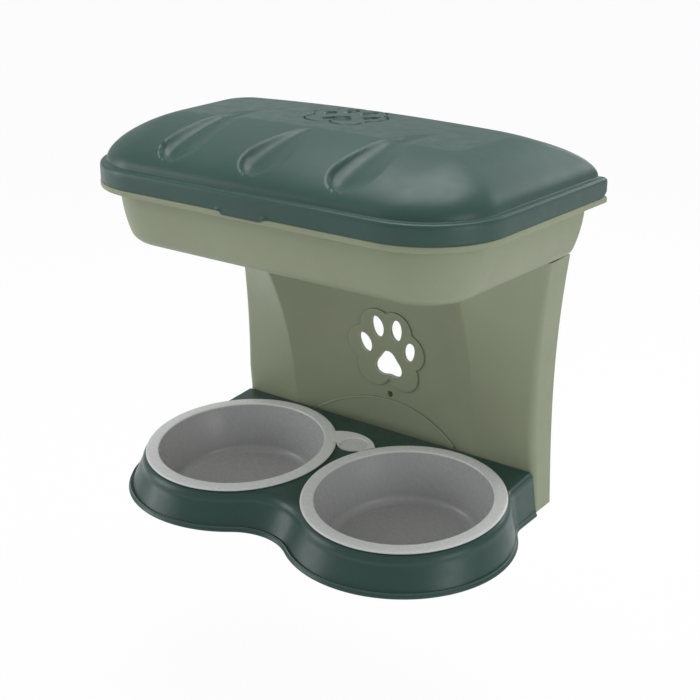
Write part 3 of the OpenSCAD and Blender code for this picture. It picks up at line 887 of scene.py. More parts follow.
    def _cutters(self) -> list[Piece]:
        """Build the solids that cut the paw and the holes of the wall and joining screws."""
        face = self.wall_depth(0, 0)
        joins = bmesh.new()
        for side in BOTH:
            for spot in tray_screw_spots(-40, (side,)):
                rod(joins, spot @ AHEAD, SCREW_BORE_R, -8, 8, 24)
            for spot in bin_screw_spots(FLOOR_Z, (side,)):
                rod(joins, spot, SCREW_BORE_R, -9, 9, 24)
        return [self._paw_cutter(), rods("hole_cutter", [AHEAD], WALL_BORE_R, -2, face + 10),
                rods("seat_cutter", [AHEAD], WALL_SEAT_R, face - 5, face + 20),
                finish_mesh(joins, "join_cutter")]

    def paw_frame(self) -> Piece:
        """Loft the low scalloped panel that stands round the paw cut-out."""
        outline = self.paw.scallop(self.frame_reach)

        def ring(k: float, lift: float, grow: float = 0.0) -> Ring:
            """Return the outline drawn in to a share k, and grown, at a lift over the wall."""
            points = []
            for x, z in outline:
                r = math.hypot(x, z)
                px, pz = x * k + grow * x / r, z * k + grow * z / r + self.paw_z
                points.append((px, -self.wall_depth(px, pz) - lift, pz))
            return points

        proud = self.frame_proud
        rings = [ring(0.04, proud)] + [ring(k / 12, proud) for k in range(1, 12)]
        rings += [ring(1, proud, -0.9), ring(1, proud - 0.12, -0.45), ring(1, proud - 0.5, -0.1)]
        rings += [ring(1, 0.0), ring(1, -1.2), ring(0.5, -1.2), ring(0.04, -1.2)]
        frame = finish_mesh(lofted(rings, True), "paw_frame", 40)
        carve(frame, [self._paw_cutter()])
        resharpen(frame, 40)
        return frame

    def moon_bead(self) -> Piece:
        """Loft the thin bead along the arc of the half-moon."""

        def ring(x: float, radius: float) -> Ring:
            """Return a small circle square to the arc at x."""
            lean = x / self.moon_r
            z = FOOT_Z + self.moon_top - self.moon_r * (1 - math.cos(math.asin(lean)))
            y = -self.wall_depth(x, z) - self.moon_proud + 0.5
            points = []
            for a in full_turn(12):
                up = radius * math.cos(a)
                points.append((x + up * lean, y - radius * math.sin(a),
                               z + up * math.sqrt(1 - lean * lean)))
            return points

        end = self.moon_half - 1.0
        rings = [ring(-end, 0.5)] + [ring(mix(-end, end, i / 64), 1.3) for i in range(65)]
        return finish_mesh(lofted(rings + [ring(end, 0.5)]), "half_moon_bead", 50)

    def build(self, palette: Palette) -> None:
        """Build the column and dress it."""
        dress(self.moon_bead(), palette.sage, Body.STAND, Slot.SAGE)
        dress(self.shell(), palette.sage, Body.STAND, Slot.SAGE, "column")
        dress(self.paw_frame(), palette.sage, Body.STAND, Slot.SAGE)


# ---------- storage bin and lid ----------


@dataclass
class RimPlan:
    """The plan that the bin's rim and the lid share."""

    front_w: float = 518.0
    rear_w: float = 546.0
    depth: float = 299.0
    front_r: float = 95.0
    rear_r: float = 5.0
    wall_gap: float = 2.0
    front_points: int = 120
    side_points: int = 22
    rear_points: int = 70
    front_steps: int = 22
    rear_steps: int = 8

    @property
    def front(self) -> float:
        """Y of the rim's front."""
        return -self.wall_gap - self.depth

    def plan(self, inset: Inset) -> Plan:
        """Return the rim's plan, moved in by (front, side, rear)."""
        slant = (self.rear_w - self.front_w) / 2 / self.depth
        f, b = self.front + inset[0], -self.wall_gap - inset[2]
        wf = self.front_w / 2 + slant * inset[0] - inset[1]
        wb = self.rear_w / 2 - slant * inset[2] - inset[1]
        rf = max(18.0, self.front_r - (inset[0] + inset[1]) / 2)
        rb = max(3.0, self.rear_r - inset[1] / 2) + 0.35 * max(0.0, (inset[1] + inset[2]) / 2 - 8)
        fl, fr, br, bl = (-wf, f), (wf, f), (wb, b), (-wb, b)
        steps = self.front_steps
        c1, c2 = fillet(bl, fl, fr, rf, steps), fillet(fl, fr, br, rf, steps)
        steps = self.rear_steps
        c3, c4 = fillet(fr, br, bl, rb, steps), fillet(br, bl, fl, rb, steps)
        return (c1 + run(c1[-1], c2[0], self.front_points) + c2
                + run(c2[-1], c3[0], self.side_points) + c3
                + run(c3[-1], c4[0], self.rear_points) + c4
                + run(c4[-1], c1[0], self.side_points))

    def ring(self, inset: Inset, z: float) -> Ring:
        """Return a ring of the rim's plan at one height."""
        return at_height(self.plan(inset), z)

def even(k: float) -> Inset:
    """Return the same inset all round."""
    return k, k, k
@dataclass
class StorageBin:
    """The moulded bin with its thin rim, its body under it, hinge ears and screw bosses."""

    rim: RimPlan = field(default_factory=RimPlan)
    height: float = 74.0
    rim_t: float = 6.5
    overhang: float = 22.0
    taper: float = 14.0
    edge_r: float = 12.0
    wall: float = 3.0
    ledge: float = 15.0
    rear_ledge: float = 6.0
    upstand: float = 8.0
    boss_h: float = 14.0
    wall_hole_x: float = 150.0
    wall_hole_h: float = 44.0
    wall_boss_h: float = 9.8
    ear_r: float = 5.0
    ear_half: float = 3.0
    ear_out: float = 11.5
    ear_foot: float = 14.0

    def side(self, h: float) -> float:
        """Return how far the body stands in from the rim at a height over the floor."""
        return self.overhang + self.taper * (1 - h / (self.height - self.rim_t)) ** 2

    def inset(self, s: float, d: float) -> Inset:
        """Return the inset in front, at the sides and at the rear."""
        if s <= self.overhang:
            rear = s * self.rear_ledge / self.ledge * min(1.0, self.ledge / max(s, 1.0))
        else:
            rear = self.rear_ledge + 0.2 * (s - self.overhang)
        return s + d, s + d, rear + d

    def shell(self) -> Piece:
        """Loft the bin's walls, outside and in, and add its bosses and ears."""
        top, neck, w, r = self.height, self.height - self.rim_t, self.wall, self.edge_r
        edge = [(r * (1 - math.sin(a)), r * (1 - math.cos(a))) for a in quarter(8)]
        levels = [mix(r, neck - 2.5, i / 12) for i in range(1, 13)]

        def ring(s: float, d: float, h: float) -> Ring:
            """Return a ring that stands in by s, and by the wall d, at a height over the floor."""
            return self.rim.ring(self.inset(s, d), FLOOR_Z + h)

        rings = [ring(self.side(y) + x, 0, y) for x, y in edge]
        rings += [ring(self.side(h), 0, h) for h in levels]
        rings += [ring(s, 0, h) for s, h in (
            (self.overhang - 0.3, neck - 1.0), (self.overhang - 1.4, neck),
            (1.2, neck), (0.5, neck + 0.3), (0.1, neck + 0.9), (0, neck + 1.8),
            (0, top - 1.6), (0.3, top - 0.6), (1.2, top), (self.ledge - 0.6, top),
            (self.ledge, top + 0.6))]
        rings += [ring(self.ledge, d, top + self.upstand) for d in (0.4, w)]
        rings += [ring(self.ledge, w, top - 0.5), ring(self.overhang, w, neck)]
        rings += [ring(self.side(h), w, h) for h in reversed(levels[:-1])]
        rings += [ring(self.side(y) + x, w, w + y * (1 - w / r)) for x, y in reversed(edge[:-1])]
        shell = finish_mesh(lofted(rings), "bin_shell")
        self._cut_upstand(shell)
        carve(shell, [self._extras()], "UNION")
        carve(shell, [self._bores()])
        resharpen(shell)
        return shell

    def _cut_upstand(self, shell: Piece) -> None:
        """Take the rear upstand off, where the lid swings down behind its hinge."""
        bm = bmesh.new()
        w, front, back = self.rim.rear_w / 2, 3 - HINGE_Y, 3
        plan = [(-w, front), (w, front), (w, back), (-w, back)]
        slab(bm, at_height(plan, SEAT_Z), (0, 0, 2 * self.upstand))
        carve(shell, [finish_mesh(bm, "upstand_cutter")])

    def _ear(self, bm: Skin, x: float) -> None:
        """Add one hinge ear: a round head on a leg that runs back to the rear wall."""
        y, z, r = -HINGE_Y, SEAT_Z + HINGE_H, self.ear_r
        left, right, low, back = x - self.ear_half, x + self.ear_half, SEAT_Z - self.ear_foot, -9.5
        angles = [math.radians(k) for k in range(-10, 191, 12)]
        head = [(left, y + r * math.cos(a), z + r * math.sin(a)) for a in angles]
        leg = [(left, y - r, low), (left, y + 0.7 * r, low), (left, y + 0.7 * r, z - 3.5)]
        slab(bm, head + leg, (2 * self.ear_half, 0, 0))
        plan = [(left, y), (right, y), (right, back), (left, back)]
        slab(bm, at_height(plan, low), (0, 0, 13.6))

    def _wall_hole(self, side: int) -> Matrix:
        """Return the frame of a wall screw's hole, with Z away from the wall."""
        return shift(side * self.wall_hole_x, 0, FLOOR_Z + self.wall_hole_h) @ AHEAD

    def _extras(self) -> Piece:
        """Build the bosses and ears that are joined to the shell."""
        bm = bmesh.new()
        for side in BOTH:
            for spot in bin_screw_spots(FLOOR_Z, (side,)):
                rod(bm, spot, SCREW_BOSS_R, 0.2, self.boss_h, 36)
            rod(bm, self._wall_hole(side), WALL_BOSS_R, 0.0, self.wall_boss_h, 40)
            for out in BOTH:
                self._ear(bm, side * HINGE_X + out * self.ear_out)
        return finish_mesh(bm, "bin_extras")

    def _bores(self) -> Piece:
        """Build the solids that bore the bosses and the ears."""
        bm = bmesh.new()
        for side in BOTH:
            for spot in bin_screw_spots(FLOOR_Z, (side,)):
                rod(bm, spot, SCREW_BORE_R, -1, 11, 24)
            rod(bm, self._wall_hole(side), WALL_BORE_R, -1, 40, 32)
            rod(bm, hinge_place(side), PIN_BORE_R, -30, 30, 24)
        return finish_mesh(bm, "bin_bores")

    def build(self, palette: Palette) -> None:
        """Build the bin and dress it."""
        dress(self.shell(), palette.sage, Body.STAND, Slot.SAGE, "storage_bin")


@dataclass
class Lid:
    """The hollow lid: skirt, gutter, dome with claw marks and a sunk paw, tab and hinge eyes."""

    rim: RimPlan = field(default_factory=lambda: RimPlan(front_points=190, side_points=44))
    height: float = 69.0
    skirt: float = 23.0
    ledge: float = 8.0
    crown: float = 5.0
    lean: Inset = (108.0, 66.0, 60.0)
    wall: float = 3.0
    gap: float = 0.3
    claws: tuple[tuple[float, float], ...] = ((-116.0, 0.53), (0.0, 0.36), (116.0, 0.53))
    claw_start: float = 20.0
    claw_w: float = 58.0
    claw_depth: float = 13.0
    claw_bend: float = 16.0
    gutter: tuple[Point, ...] = (
        (7.2, 22.3), (6.2, 21.9), (5.0, 21.7), (3.8, 21.6), (2.6, 21.3), (1.6, 20.7),
        (0.8, 19.8), (0.3, 18.6), (0.05, 17.0), (0.0, 14.0))
    tab_x: float = 2.0
    tab_half: float = 31.0
    tab_fade: float = 6.0
    tab_reach: Point = (280.0, 295.0)
    eye_r: float = 5.0
    eye_half: float = 8.0
    opens: float = 41.0
    sharp: float = 58.0
    paw_y: float = -112.0
    paw_sink: float = 3.0
    paw_field: Point = (0.056, 0.047)
    paw_grid: Inset = (0.0036, 0.0019, 0.00115)
    paw: PawMark = field(default_factory=lambda: PawMark(72.0))

    @property
    def crown_half(self) -> float:
        """Distance from the middle at which the crown's lift ends."""
        return (self.rim.rear_w - 2 * self.lean[1]) / 2

    def crown_share(self, x: float) -> float:
        """Return the share of the crown's lift at a distance from the middle."""
        return max(0.0, 1 - (x / self.crown_half) ** 2)

    def scoop(self, x: float, y: float) -> float:
        """Return the depth of the claw marks: steep on their left and shallow on their right."""
        depth = 0.0
        front = self.rim.front + self.claw_start
        for middle, share in self.claws:
            reach = (self.rim.depth - self.claw_start) * share
            t = (y - front) / reach
            if not 0 < t < 1:
                continue
            bend = self.claw_bend * t * t
            end = self.claw_w / 2 / reach
            if t < end:
                wide = math.sqrt(max(0.0, 1 - (1 - t / end) ** 2))
            else:
                wide = max(0.0, 1 - (t - end) / (1 - end)) ** 0.6
            half = self.claw_w / 2 * wide
            if half < 0.5:
                continue
            u = ((x - middle - bend + 2) / half + 1) / 2
            if not 0 < u < 1:
                continue
            across = math.sin(math.pi * u ** 0.52) ** 1.25
            along = math.sqrt(min(1.0, t / end * 1.5))
            depth = max(depth, self.claw_depth * across * along * (1 - t) ** 1.1)
        return depth

    def swing_floor(self, y: float) -> float:
        """Return the height that the skirt keeps over behind its hinge, to swing clear."""
        d = y + HINGE_Y
        r = HINGE_H - self.gap
        if d <= 0:
            return 0.0
        end = math.radians(self.opens)
        axis = SEAT_Z + HINGE_H
        if d < r * math.sin(end):
            return axis - math.sqrt(r * r - d * d)
        return axis + d * math.tan(end) - r / math.cos(end)

    def dome(self, share: float, d: float) -> tuple[Inset, float]:
        """Return the inset and height of the dome at a share of its turn."""
        a = math.pi / 2 * share
        reach = 1 - math.cos(a) ** 1.6
        up = math.sin(a) ** 1.1
        inset = tuple(self.ledge + d + (r - d) * reach for r in self.lean)
        wall = self.wall if d > 0 else 0
        return inset, self.skirt + (self.height - self.skirt - wall) * up

    def dressed(self, ring: Ring, share: float) -> Ring:
        """Crown a ring of the dome and sink the claw marks in it."""
        lift = self.crown * math.sin(math.pi / 2 * share) ** 2
        return [(x, y, z + lift * self.crown_share(x) - self.scoop(x, y)) for x, y, z in ring]

    def ring(self, inset: Inset, h: float) -> Ring:
        """Return one ring of the lid, kept clear of the rim where it swings."""
        g = 2 * self.gap
        ring = self.rim.ring((inset[0] + g, inset[1] + g, inset[2] + g), SEAT_Z + h)
        return [(x, y, max(z, self.swing_floor(y))) for x, y, z in ring]

    def tabbed(self, ring: Ring, drop: float, out_by: float) -> Ring:
        """Draw the middle of the skirt's front out and down into the finger tab."""
        points = []
        half, fade = self.tab_half, self.tab_fade
        for x, y, z in ring:
            side, near = abs(x - self.tab_x), smooth_step(-y, *self.tab_reach)
            out = near * (1 - smooth_step(side, half, half + fade))
            down = near * (1 - smooth_step(side, half - fade, half))
            points.append((x, y - out_by * out, z - drop * down))
        return points

    def plateau(self, outer: Ring, k: float) -> Ring:
        """Return the dome's top ring drawn in to a share k, with the claw marks sunk in it."""
        mid_y = (min(p[1] for p in outer) + max(p[1] for p in outer)) / 2
        base = outer[0][2]
        ring = []
        for x, y, _ in outer:
            px, py = x * k, mid_y + (y - mid_y) * k
            ring.append((px, py, base + self.crown * self.crown_share(px) - self.scoop(px, py)))
        return ring

    def _outside(self) -> list[Ring]:
        """Return the rings of the outside, from the middle of the top to the skirt's edge."""
        top = self.ring(*self.dome(1, 0))
        rings = [self.plateau(top, i / 76) for i in range(3, 76)]
        turns = [i / 40 for i in range(40, -1, -1)]
        rings += [self.dressed(self.ring(*self.dome(t, 0)), t) for t in turns]
        rings += [self.ring(even(s), h) for s, h in self.gutter]
        skirt = ((0, 4.0, 0, 0), (0, 1.8, 0, 0.7), (0, 1.2, 3.0, 2.4), (0.5, self.gap, 3.6, 2.4))
        rings += [self.tabbed(self.ring(even(s), h), drop, out) for s, h, drop, out in skirt]
        return rings

    def _inside(self) -> list[Ring]:
        """Return the rings of the inside, from the skirt's edge to the middle of the top."""
        w = self.wall
        rings = [self.tabbed(self.ring(even(2.6), self.gap), 3.6, 2.4),
                 self.ring(even(w), 3.4), self.ring(even(w), self.skirt - 1.5 - w)]
        for i in range(13):
            inset, h = self.dome(i / 12, w)
            rings.append(self.dressed(self.ring(inset, h - (w if i == 0 else 0)), i / 12))
        top = self.ring(*self.dome(1, w))
        return rings + [self.plateau(top, k) for k in (0.85, 0.7, 0.5, 0.3, 0.1)]

    def shell(self) -> Piece:
        """Loft the lid's skin, outside and in, and add its paw and its eyes."""
        bm = lofted(self._outside() + self._inside(), True)
        self._sink_paw(bm)
        shell = finish_mesh(bm, "lid_shell", self.sharp)
        carve(shell, [self._eyes()], "UNION")
        places = [hinge_place(side) for side in BOTH]
        carve(shell, [rods("lid_bores", places, PIN_BORE_R, -12, 12, 24)])
        resharpen(shell, self.sharp)
        return shell

    def _sink_paw(self, bm: Skin) -> None:
        """Refine the skin on top and sink the paw's toes, pad and outline in it.

        The field and the grid, which is made finer in steps, are in metres, as the mesh is.
        """
        half_x, half_y = self.paw_field
        mid = Vector((0, self.paw_y * MM))
        low = (SEAT_Z + self.height - 2) * MM

        def near(v: Vert) -> bool:
            """Tell whether a vertex lies on top, round the paw."""
            return abs(v.co.x) < half_x and abs(v.co.y - mid.y) < half_y and v.co.z > low

        for length in self.paw_grid:
            coarse = [e for e in bm.edges if e.calc_length() > length and all(map(near, e.verts))]
            if coarse:
                bmesh.ops.subdivide_edges(bm, edges=coarse, cuts=1, use_grid_fill=True)
        pockets = self.paw.outlines(28, 36)
        border = self.paw.scallop(20.0, 90)
        for v in bm.verts:
            if near(v):
                x, y = v.co.x / MM, v.co.y / MM - self.paw_y
                v.co.z -= MM * self.relief(x, y, pockets, border)

    def relief(self, x: float, y: float, pockets: Sequence[Plan], border: Plan) -> float:
        """Return how deep the paw is sunk at a place.

        Args:
            x: Distance from the paw's middle to the right.
            y: Distance from the paw's middle to the rear.
            pockets: Outlines of the toes and the pad.
            border: The scalloped line round them.

        Returns:
            The depth in millimetres.
        """
        depth = 0.0
        for outline in pockets:
            d = edge_distance(x, y, outline)
            depth = max(depth, self.paw_sink * smooth_step(d, -0.9, 0.9))
        line = abs(edge_distance(x, y, border))
        return max(depth, 0.8 * self.paw_sink * (1 - smooth_step(line, 0.7, 2.0)))

    def _eyes(self) -> Piece:
        """Build the two hinge eyes with the webs that join them to the skirt's rear."""
        bm = bmesh.new()
        z, r, back = SEAT_Z + HINGE_H, self.eye_r, -4.3
        angles = [math.radians(k) for k in range(90, 361, 15)]
        for side in BOTH:
            x = side * HINGE_X - self.eye_half
            curve = [(x, -HINGE_Y + r * math.cos(a), z + r * math.sin(a)) for a in angles]
            slab(bm, curve + [(x, back, z), (x, back, z + r)], (2 * self.eye_half, 0, 0))
        return finish_mesh(bm, "lid_eyes")

    def build(self, palette: Palette) -> None:
        """Build the lid and dress it."""
        dress(self.shell(), palette.pine, Body.LID, Slot.PINE, "lid")


def edge_distance(x: float, y: float, outline: Plan) -> float:
    """Return the distance of a point from a closed outline, positive inside it."""
    best, inside = 1e9, False
    px, py = outline[-1]
    for qx, qy in outline:
        ex, ey = qx - px, qy - py
        share = ((x - px) * ex + (y - py) * ey) / (ex * ex + ey * ey or 1e-9)
        t = min(1.0, max(0.0, share))
        best = min(best, math.hypot(x - px - t * ex, y - py - t * ey))
        if (py > y) != (qy > y) and x < px + (y - py) * ex / (ey or 1e-9):
            inside = not inside
        px, py = qx, qy
    return best if inside else -best


# ---------- tray and bowls ----------


@dataclass
class BowlSize:
    """Sizes that the bowls and the tray share."""

    rim_r: float = 120.0
    rim_w: float = 16.0
    depth: float = 62.0
    taper: float = 14.0
    floor_r: float = 11.0
    wall: float = 2.5
    rim_t: float = 3.0
    gap: float = 6.0
    clear: float = 1.2
    deck_z: float = -47.0
    tilt: float = 3.9
    tray_rear: float = -42.3
    rear_margin: float = 8.5
    lift: float = 0.3

    @property
    def x(self) -> float:
        """Distance of a bowl from the middle."""
        return self.rim_r + self.gap / 2

    @property
    def y(self) -> float:
        """Y of the bowls' centres."""
        return self.tray_rear - self.rear_margin - self.rim_r

    @property
    def slope(self) -> float:
        """Fall of the deck per millimetre."""
        return math.tan(math.radians(self.tilt))

    @property
    def mouth(self) -> float:
        """Radius of a bowl's mouth."""
        return self.rim_r - self.rim_w

    @property
    def rim_plane(self) -> float:
        """Height of the rims' tops in the deck's own tilted frame, at the wall of the house."""
        a = math.radians(self.tilt)
        deck = self.deck_z * math.cos(a) - self.y * math.sin(a)
        return deck + self.lift + self.rim_t - 0.8

    def place(self, side: Side, up: float = 0.0) -> Matrix:
        """Return the frame of a bowl, with Z square to the deck."""
        deck = shift(side.value * self.x, self.y, self.deck_z) @ rotation(self.tilt, "X")
        return deck @ shift(0, 0, up)


@dataclass
class BowlTray:
    """The hollow tray with two lobes, a tilted deck and a lip round its foot."""

    bowls: BowlSize = field(default_factory=BowlSize)
    rear_w: float = 444.0
    margin: float = 5.0
    edge_r: float = 11.0
    flare: float = 10.5
    lean: float = 8.0
    waist_r: float = 76.0
    flank_r: float = 34.0
    wall: float = 3.0
    lip: float = 2.2
    lip_h: float = 4.0
    sharp: float = 30.0

    def plan(self, s: float, lean: float, wall: float = 0.0) -> Plan:
        """Return the tray's plan, spread outwards by s and leant forward by lean."""
        b = self.bowls
        r, w, rear = b.rim_r + self.margin + s, self.rear_w / 2 + s * 0.6, b.tray_rear - wall
        c = (b.x, b.y - lean)
        reach = w + self.flank_r
        fc = (reach, c[1] + math.sqrt((r + self.flank_r) ** 2 - (reach - c[0]) ** 2))
        flank = math.degrees(math.atan2(fc[1] - c[1], fc[0] - c[0]))
        rho = self.waist_r - s * 0.6
        drop = math.sqrt((r + rho) ** 2 - c[0] ** 2)
        waist = math.degrees(math.atan2(-drop, -c[0]))
        half = (arc((0.0, c[1] - drop), rho, 90, 180 + waist, 16) + arc(c, r, waist, flank, 80)
                + arc(fc, self.flank_r, flank - 180, -180, 12)
                + run((w, fc[1]), (w, rear), 4) + [(w, rear)])
        rear_run = run((w, rear), (-w, rear), 30)
        return half[1:] + rear_run + [(-x, y) for x, y in reversed(half)]

    def on_deck(self, y: float) -> float:
        """Return the height of the deck at y."""
        return self.bowls.deck_z + (y - self.bowls.y) * self.bowls.slope

    def ring(self, s: float, lean: float, drop: float, up: float, wall: float = 0.0) -> Ring:
        """Return a ring between the deck (up 0) and the foot (up 1)."""
        return [(x, y, mix(self.on_deck(y) - drop, FOOT_Z, up))
                for x, y in self.plan(s, lean, wall)]

    def shell(self) -> Piece:
        """Loft the tray and bore its deck."""
        e, w, lip, h = self.edge_r, self.wall, self.lip, self.lip_h
        edge = [(e * (math.sin(a) - 1), e * (1 - math.cos(a))) for a in quarter(10)]
        rings = [self.ring(k, 0, d, 0, -0.15 * k) for k, d in edge]
        rings += [self.ring(self.flare * t, self.lean * t, e, t)
                  for t in (0.12, 0.3, 0.5, 0.7, 0.82)]
        rings += [at_height(self.plan(self.flare + s, self.lean), FOOT_Z + up) for s, up in (
            (0.0, h + 2.4), (0.35, h), (lip - 0.7, h - 1.4), (lip - 0.1, h - 2.2),
            (lip, 0.6), (lip - 0.5, 0.0))]
        rings.append(at_height(self.plan(self.flare - w, self.lean, w), FOOT_Z))
        rings += [self.ring(-w, 0, e + 1, 0, w),
                  self.ring(-e * 0.3 - w, 0, w + e * 0.3, 0, w + 0.5),
                  self.ring(-e - w, 0, w, 0, w + 2)]
        shell = finish_mesh(lofted(rings), "tray_shell", self.sharp)
        bosses = [spot @ AHEAD for spot in tray_screw_spots(self.bowls.tray_rear + 0.7)]
        carve(shell, [rods("tray_bosses", bosses, SCREW_BOSS_R, 0.8, 13.5, 36)], "UNION")
        carve(shell, self._cutters())
        resharpen(shell, self.sharp)
        return shell

    def _cutters(self) -> list[Piece]:
        """Build the solids that bore the deck and the bosses."""
        b = self.bowls
        wells = [b.place(side) for side in Side]
        screws = [spot @ AHEAD for spot in tray_screw_spots(b.tray_rear)]
        return [rods("deck_holes", wells, b.mouth + b.wall + b.clear, -30, 30, 128),
                rods("tray_bores", screws, SCREW_BORE_R, -4, 12, 24)]

    def build(self, palette: Palette) -> None:
        """Build the tray and dress it."""
        dress(self.shell(), palette.pine_tray, Body.STAND, Slot.PINE, "bowl_tray")


@dataclass
class Bowl:
    """A lift-out bowl with a flat rim; the left one's rim carries a thumb tab."""

    side: Side
    size: BowlSize = field(default_factory=BowlSize)
    tab_w: float = 46.0
    tab_turn: float = 32.0
    tab_gap: float = 0.8
    sharp: float = 34.0

    def profile(self) -> Plan:
        """Return the section: from the middle of the floor, over the rim, to the middle below."""
        b = self.size
        r1, r0, f, t, edge = b.mouth, b.mouth - b.taper, b.floor_r, b.wall, b.rim_r
        top, low = b.rim_t, b.rim_t - b.depth
        inside = [(0.0, low + 0.4), (30.0, low + 0.35), (r0 - f - 6, low + 0.05)]
        inside += arc((r0 - f, low + f), f, -90, -4, 14)
        inside += [(mix(r0, r1, k), mix(low + f + 1, top - 4, k))
                   for k in (0.12, 0.3, 0.5, 0.7, 0.88)]
        inside += arc((r1 + 1.6, top - 1.6), 1.6, 176, 90, 8)
        rim = [(edge - 9, top), (edge - 3.4, top - 0.05), (edge - 1.8, top - 0.25),
               (edge - 0.7, top - 0.8), (edge - 0.1, top - 1.5), (edge, 0.9), (edge - 0.3, 0.25),
               (edge - 0.9, 0.0), (r1 + t + 1.2, 0.0), (r1 + t + 0.3, -0.3), (r1 + t, -1.4)]
        outside = [(mix(r1 + t, r0 + t, k), mix(-1.4, low + f, k)) for k in (0.25, 0.5, 0.75)]
        outside += arc((r0 - f, low + f), f + t, 0, -90, 12)
        return inside + rim + outside + [(40.0, low - t), (0.0, low - t)]

    def tab(self) -> Piece:
        """Carve the ear-shaped tab in the bowl's own frame."""
        b, r, top = self.size, self.tab_w / 2, self.size.rim_t
        root = rotation(self.tab_turn, "Z") @ shift(b.rim_r, 0, 0)
        lobes = ((r, 0.0, r), (0.3 * r, 0.65 * r, 0.73 * r), (1.5 * r, -0.35 * r, 0.73 * r))
        ear, *others = [rods("tab_part", [root @ shift(x, y, 0)], radius, 0, top, 96)
                        for x, y, radius in lobes]
        carve(ear, others, "UNION")
        keep = rods("tab_keep", [root @ shift(0, -r, 0)], 2.15 * r, -1, top + 1, 96)
        carve(ear, [keep], "INTERSECT")
        rims = ((0.0, b.mouth + b.rim_w / 2), (2 * b.x, b.rim_r + self.tab_gap))
        cuts = [rods("tab_cut", [shift(x, 0, 0)], radius, -1, top + 1, 160) for x, radius in rims]
        flap = root @ shift(0.95 * r, -0.42 * r, 0)
        cuts.append(rods("tab_flap", [flap], 0.78 * r, top - 1.3, top + 2, 72))
        carve(ear, cuts)
        return ear

    def shell(self) -> Piece:
        """Turn the bowl and join its tab."""
        bm = bmesh.new()
        turned(bm, Matrix.Identity(4), self.profile(), 144)
        piece = finish_mesh(bm, f"{self.node}_shell", self.sharp)
        if self.side is Side.LEFT:
            carve(piece, [self.tab()], "UNION")
            resharpen(piece, self.sharp)
        place = self.size.place(self.side, self.size.lift)
        piece.data.transform(Matrix.Scale(MM, 4) @ place @ Matrix.Scale(1 / MM, 4))
        return piece

    @property
    def node(self) -> str:
        """Name of the bowl's node and body."""
        return "bowl_" + self.side.name.lower()

    def build(self, palette: Palette) -> None:
        """Build the bowl and dress it."""
        dress(self.shell(), palette.stone, Body(self.node), Slot.GREY, self.node)
# ---------- steel parts ----------


@dataclass
class JoiningScrew:
    """A pan-head screw with a sunk socket, its head on local z 0 and its shank below."""

    shank_r: float = 1.9
    length: float = 14.0
    head_r: float = 4.5
    head_h: float = 2.6
    pitch: float = 1.4

    def profile(self) -> Plan:
        """Return the section: a domed head, a plain neck and thread crests."""
        socket = [(0.0, 0.9), (1.1, 1.0), (1.25, 1.2)]
        angles = [mix(0.34, math.pi / 2, i / 8) for i in range(9)]
        dome = [(self.head_r * math.sin(a), self.head_h * (0.45 + 0.55 * math.cos(a)))
                for a in angles]
        seat = [(self.head_r - 0.1, 0.1), (self.head_r - 0.3, 0.0), (self.shank_r, 0.0)]
        thread: Plan = []
        z = -2.0
        while z > -self.length + 2.2:
            thread += [(self.shank_r, z), (self.shank_r - 0.45, z - self.pitch / 2)]
            z -= self.pitch
        tip = [(self.shank_r - 0.3, -self.length + 1.6), (0.0, -self.length)]
        return socket + dome + seat + thread + tip


@dataclass
class SteelParts:
    """The hinge pins and the eight joining screws."""

    screw: JoiningScrew = field(default_factory=JoiningScrew)
    column: Column = field(default_factory=Column)
    pin_r: float = 2.0
    pin_half: float = 14.5
    pin_bevel: float = 0.5

    def pins(self) -> Piece:
        """Turn the two hinge pins."""
        bm = bmesh.new()
        r, half, bevel = self.pin_r, self.pin_half, self.pin_bevel
        profile = [(0, -half), (r - bevel, -half), (r, bevel - half), (r, 0.0),
                   (r, half - bevel), (r - bevel, half), (0, half)]
        for side in BOTH:
            turned(bm, hinge_place(side), profile, 40)
        return finish_mesh(bm, "hinge_pin_pair")

    def screws(self, places: Sequence[Matrix], name: str) -> Piece:
        """Turn a set of screws."""
        bm = bmesh.new()
        for place in places:
            turned(bm, place, self.screw.profile(), 32)
        return finish_mesh(bm, name)

    def wing_face(self, x: float) -> float:
        """Return Y of the wing's face at the foot."""
        c = self.column
        a, b = (c.recess_half(0), -c.nose_depth(0)), (c.half_width(0), -c.side_depth(0))
        return a[1] + (b[1] - a[1]) * (x - a[0]) / (b[0] - a[0])

    def build(self, palette: Palette) -> None:
        """Build the steel parts and dress them."""
        c = self.column
        dress(self.pins(), palette.zinc, Body.STAND, Slot.STEEL, "hinge_pins")
        up = [spot @ rotation(180, "X") for spot in bin_screw_spots(FLOOR_Z - c.plate)]
        dress(self.screws(up, "bin_screw_set"), palette.zinc, Body.STAND, Slot.STEEL, "bin_screws")
        face = self.wing_face(TRAY_SCREW_X)
        slope = self.wing_face(TRAY_SCREW_X + 1) - face
        back = c.wall + self.screw.head_r * slope + 0.3
        ahead = [spot @ rotation(-90, "X") for spot in tray_screw_spots(face + back)]
        dress(self.screws(ahead, "tray_screw_set"), palette.zinc, Body.STAND, Slot.STEEL,
              "tray_screws")


# ---------- stage ----------


